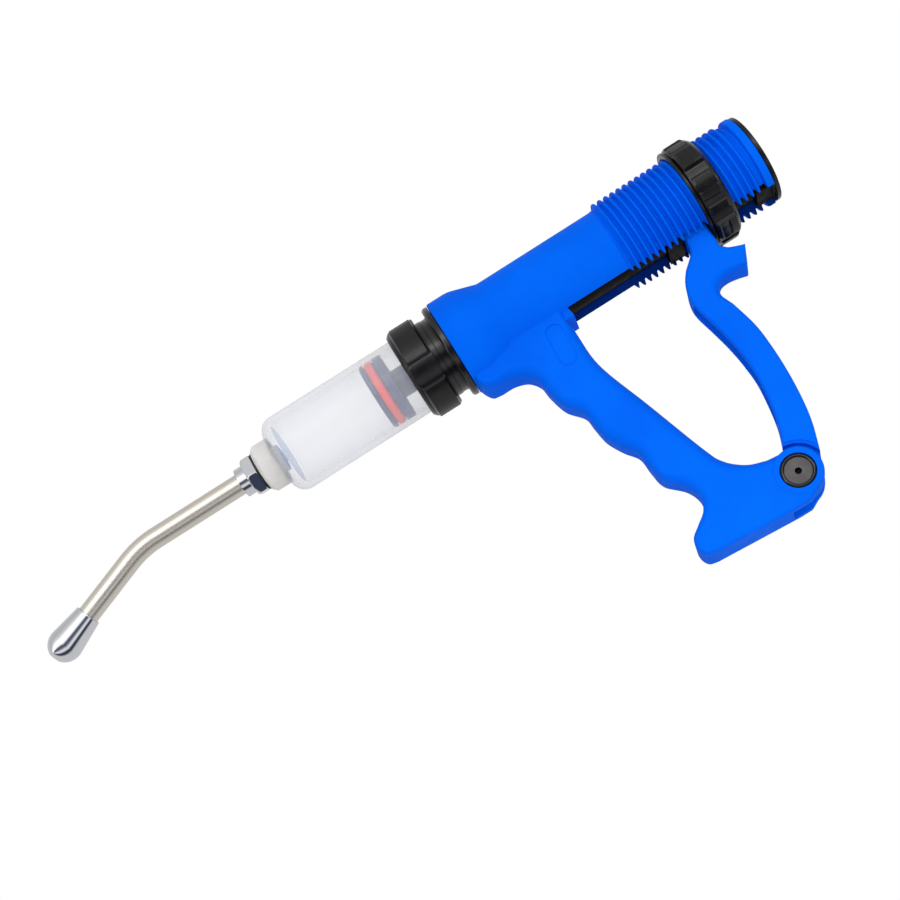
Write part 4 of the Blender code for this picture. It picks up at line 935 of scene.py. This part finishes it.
outlet_coil = coil("outlet_coil", -106.9, -99.34, 2.0, 0.3, 5, "body", "outlet_valve_spring")
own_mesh(outlet_coil)
inlet_coil = coil("inlet_coil", -38.95, -35.74, 1.8, 0.3, 3, "plunger", "inlet_valve_spring")
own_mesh(inlet_coil)


# Return spring: it stands on a washer on the rod's guide bush and pushes the carrier to the
# rear, so the lever opens and the piston draws the next dose.
bush = skin("guide_bush", revolved(rounded([
    (-15.2, 3.5, 0.2), (-15.2, 4.7, 0.2), (-9.6, 4.7, 0.1), (-9.6, 8.0, 0.3), (-8.2, 8.0, 0.3),
    (-8.2, 3.5, 0.2),
], 3), 64))
finished(bush, acetal, "body", ["rod_guide"])
washer = skin("spring_seat_washer", revolved(rounded([
    (-7.9, 5.0, 0.15), (-7.9, 13.0, 0.2), (-6.9, 13.0, 0.2), (-6.9, 5.0, 0.15),
], 3), 96))
finished(washer, steel, "body", ["spring_washer"])
return_coil = coil("return_coil", -5.7, 96.8, 11.5, 0.9, 12, "body", "return_spring")
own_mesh(return_coil)


# Plunger carrier: the black acetal sleeve that slides in the blue tube. A key on it fills the
# tube's slot, and the lever's forked head pushes on its rear face.
carrier = skin("plunger_sleeve", revolved(rounded([
    (38.0, 13.4, 0.2), (38.0, 15.8, 0.4), (112.2, 15.8, 0.5), (112.2, 3.5, 0.2), (104.2, 3.5, 0.2),
    (104.2, 9.5, 0.2), (98.0, 9.5, 0.2), (98.0, 13.4, 0.2),
])))
carrier_key = moulded(
    "carrier_key", [(104.2, -18.4), (112.2, -18.4), (112.2, -11.8), (104.2, -11.8)], 9.2, 0.5,
    spacing=0.5)
combined(carrier, [carrier_key], "UNION")
# The carrier is black acetal, painted darker and duller still as painted shade for the inside of the
# slot. The pin's eye and the cap key's front faces take the same painted shade.
sleeve_painted_shade = plastic("black_acetal_painted_shade", (0.001, 0.001, 0.0013), (0.002, 0.002, 0.0025),
                       0.35, 0.55, 0.2, specular=0.05)
finished(carrier, sleeve_painted_shade, "plunger", ["plunger_carrier"])


# Squeeze lever: a moulding of blue nylon that swings on the hinge pin. It is hollow towards the
# hand, has a horn behind the hand, and its forked head pushes on the plunger carrier.
LEVER_HALF_WIDTH = 8.0
LEVER_WALL = 2.6
LEVER_HEAD = (118.5, 0.0)
LEVER_HEAD_R = 6.0
KNUCKLE_R = 10.4
FORK_HALF_GAP = 4.03
LEVER_FRONT = [
    (111.8, -24.6), (104.6, -32.0), (100.6, -38.6), (99.0, -46.6), (100.9, -58.1), (102.6, -68.7),
    (103.5, -80.2), (103.1, -92.7), (99.4, -111.4), (93.9, -125.2),
]
LEVER_REAR = [
    (106.9, -132.6), (111.2, -120.4), (113.8, -108.5), (115.6, -94.3), (116.3, -80.5),
    (115.9, -69.3), (113.3, -55.1), (112.2, -48.6), (114.6, -44.0), (119.6, -42.8), (128.9, -44.0),
]
lever_line = np.vstack([
    flowing([(113.4, -14.0)] + LEVER_FRONT), arc(HINGE, KNUCKLE_R, 100, 345, 40), flowing(LEVER_REAR),
    [(133.2, -35.8), (126.4, -32.6), (123.7, -29.5), (124.3, -27.0), (124.3, -8.0)],
    arc(LEVER_HEAD, LEVER_HEAD_R, 10, 190, 30),
])


def lever_edge(line):
    """1.7 mm, growing to 6.5 mm in the hollow behind the horn, where the web of the hand lies."""
    near = np.clip(1 - np.abs(line[:, 1] + 46.5) / 9.5, 0, 1) * np.clip((line[:, 0] - 110.0) / 2.0, 0, 1)
    return 1.7 + 4.8 * near ** 0.7


# Cut out: the hollow towards the hand, room for the handle's ears beside the knuckle, the pin's
# hole, and the fork's gap
lever = moulded("squeeze_lever", lever_line, LEVER_HALF_WIDTH, lever_edge)
hollow_front = np.array(flowing(LEVER_FRONT[3:9]))
channel = moulded("channel", np.vstack([hollow_front - [6.0, 0.0], (hollow_front + [7.5, 0.0])[::-1]]),
                  LEVER_HALF_WIDTH - LEVER_WALL, 0.8)
relief_section = np.array([(4.7, 0.0), (4.7, 12.9), (7.2, 13.1), (7.6, 14.3), (12.0, 14.9), (12.0, 0.0)])
relief = [
    skin(f"relief_{side}", across_hinge(relief_section * [side, 1]), closed=(False, True))
    for side in (-1, 1)
]
knuckle_hole = skin("knuckle_hole", across_hinge([
    (-12.0, 0.0), (-12.0, 3.9), (12.0, 3.9), (12.0, 0.0),
], 59), closed=(False, True))
fork = moulded("fork", [
    (106.37, -9.13), (130.61, -9.13), (130.61, 20.2), (106.37, 20.2),
], FORK_HALF_GAP, 0.01, steps=1, spacing=4.37)
combined(lever, [channel, *relief, knuckle_hole, fork], "DIFFERENCE")
finished(lever, blue, "lever", ["lever"])


# Hinge pin: turned from black nylon, with a wide dished head on the near side and a small hole
# in its middle. A cap is pressed on its far end.
PIN_DISH_R = 5.9
PIN_EYE_R = 1.45
pin = skin("pivot_pin", across_hinge(rounded([
    (-7.6, 0.0, 0.0), (-7.6, 1.3, 0.2), (-9.9, 1.4, 0.2), (-10.1, PIN_DISH_R, 0.3), (-10.9, 6.3, 0.3),
    (-11.0, 6.8, 0.3), (-10.5, 7.5, 0.4), (-9.0, 7.5, 0.2), (-9.0, 3.5, 0.2), (8.8, 3.5, 0.2),
    (8.8, 0.0, 0.0),
])), closed=(False, True))
finished(pin, neck_black, "body", ["hinge_pin"])
pin_grey = plastic("turned_grey_face", (0.055, 0.05, 0.052), (0.04, 0.037, 0.04), 0.4, 0.55, 0.5, 200.0)
middle, facing = faces_of(pin)
reach = np.hypot(middle[:, 0] - HINGE[0], middle[:, 2] - HINGE[1])
second_finish(pin, pin_grey, (middle[:, 1] < -9.7) & (reach > PIN_EYE_R) & (reach < PIN_DISH_R))
# The eye in the head's middle is painted lightless black as the shade in the hole
second_finish(pin, sleeve_painted_shade, (middle[:, 1] < 0) & (reach < PIN_EYE_R))
pin_cap = skin("pivot_cap", across_hinge(rounded([
    (9.1, 0.0, 0.0), (9.1, 7.5, 0.2), (10.4, 7.5, 0.3), (11.0, 6.8, 0.3), (11.0, 0.0, 0.0),
])), closed=(False, True))
finished(pin_cap, black, "body", ["hinge_cap"])


# Stop ring: a plain black nylon ring in front of the dose nut. It slides on the thread's crests
# without turning, and the lever comes to rest on it.
stop_ring = skin("dose_ring_front", revolved(rounded([
    (124.8, 22.4, 0.1), (124.8, 24.9, 0.4), (126.0, 24.9, 0.2), (126.0, 22.4, 0.1),
])))
finished(stop_ring, black, "dose_ring", ["dose_stop_ring"])


# Dose nut: black nylon, screwed on the body's thread. Four chamfered lugs and the narrow ribs
# between them give the fingers their hold.
DOSE_FRONT = 126.3
DOSE_REAR = 138.9
DOSE_R = 24.9
DOSE_LUG_R = 26.5
DOSE_RIB_R = 25.7
DOSE_LUG_MIDDLE = 75.0
DOSE_LUG_FRONT = 127.3
DOSE_LUG_REAR = 137.3
DOSE_LUG_HALF_SPREAD = 12.0
DOSE_RIB_FRONT = 127.7
DOSE_RIB_REAR = 136.5
DOSE_RIB_HALF_SPREAD = 4.5
DOSE_POCKET_FRONT = 128.5
DOSE_POCKET_REAR = 133.0
DOSE_POCKET_HALF_SPREAD = 8.5
DOSE_POCKET_DEPTH = 0.7
side_edges = np.array([-12.0, 12.0, 23.5, 32.5, 40.5, 49.5, 57.5, 66.5])
edges = (side_edges[:, None] + DOSE_LUG_MIDDLE + 90 * np.arange(4)).ravel() % 360
degrees = edged(0.0, 360.0, 3.0, edges, 1.8)[:-1]
x = edged(DOSE_FRONT, DOSE_REAR, 0.9, [
    DOSE_LUG_FRONT, DOSE_LUG_REAR, DOSE_RIB_FRONT, DOSE_RIB_REAR, DOSE_POCKET_FRONT, DOSE_POCKET_REAR,
], 0.8)
from_lug = (degrees[None, :] - DOSE_LUG_MIDDLE + 45) % 90 - 45
from_rib = (degrees[None, :] - DOSE_LUG_MIDDLE) % 90 - 45
lug = between(x[:, None], DOSE_LUG_FRONT, DOSE_LUG_REAR, 1.0)
lug = lug * between(from_lug, -DOSE_LUG_HALF_SPREAD, DOSE_LUG_HALF_SPREAD, 3.0)
rib_turns = sum(between(from_rib, middle - DOSE_RIB_HALF_SPREAD, middle + DOSE_RIB_HALF_SPREAD, 1.8)
                for middle in (-17.0, 0.0, 17.0))
rib = between(x[:, None], DOSE_RIB_FRONT, DOSE_RIB_REAR, 1.0) * rib_turns
base = np.interp(x, [126.3, 126.5, 127.1, 136.9, 138.3, 138.9], [24.1, 24.5, 24.9, 24.9, 23.9, 23.2])
pocket = between(x[:, None], DOSE_POCKET_FRONT, DOSE_POCKET_REAR, 0.6)
pocket = pocket * between(from_lug, -DOSE_POCKET_HALF_SPREAD, DOSE_POCKET_HALF_SPREAD, 2.0)
outside = base[:, None] + (DOSE_LUG_R - DOSE_R) * lug + (DOSE_RIB_R - DOSE_R) * rib
dose_nut = skin("dose_setting_nut", ribbed(x, outside - DOSE_POCKET_DEPTH * pocket, [
    (DOSE_REAR, 22.7), (DOSE_REAR, 22.4), (DOSE_FRONT, 22.4),
], degrees))
finished(dose_nut, black, "dose_nut", ["dose_nut"])


# End cap: black nylon, pushed into the tube's rear. A key on it fills the end of the slot, and
# the supply hose goes through its hole.
end_cap = skin("rear_cap", revolved(rounded([
    (140.3, 15.9, 0.3), (159.6, 15.9, 0.1), (159.6, 21.5, 0.2), (161.6, 21.5, 0.7), (161.6, 8.5, 0.4),
    (157.1, 8.5, 0.3), (157.1, 12.7, 0.3), (140.3, 12.7, 0.3),
])))
cap_key = moulded(
    "cap_key", [(150.6, -18.2), (160.1, -18.2), (160.1, -12.9), (150.6, -12.9)], 8.0, 1.8, spacing=0.5)
combined(end_cap, [cap_key], "UNION")
finished(end_cap, black, "body", ["end_cap"])
# The key's faces in front of the cap's rim carry the sleeve's painted shade, dark as the inside of the
# slot
middle, facing = faces_of(end_cap)
second_finish(end_cap, sleeve_painted_shade, (middle[:, 2] < -13.5) & (middle[:, 0] < 159.4))
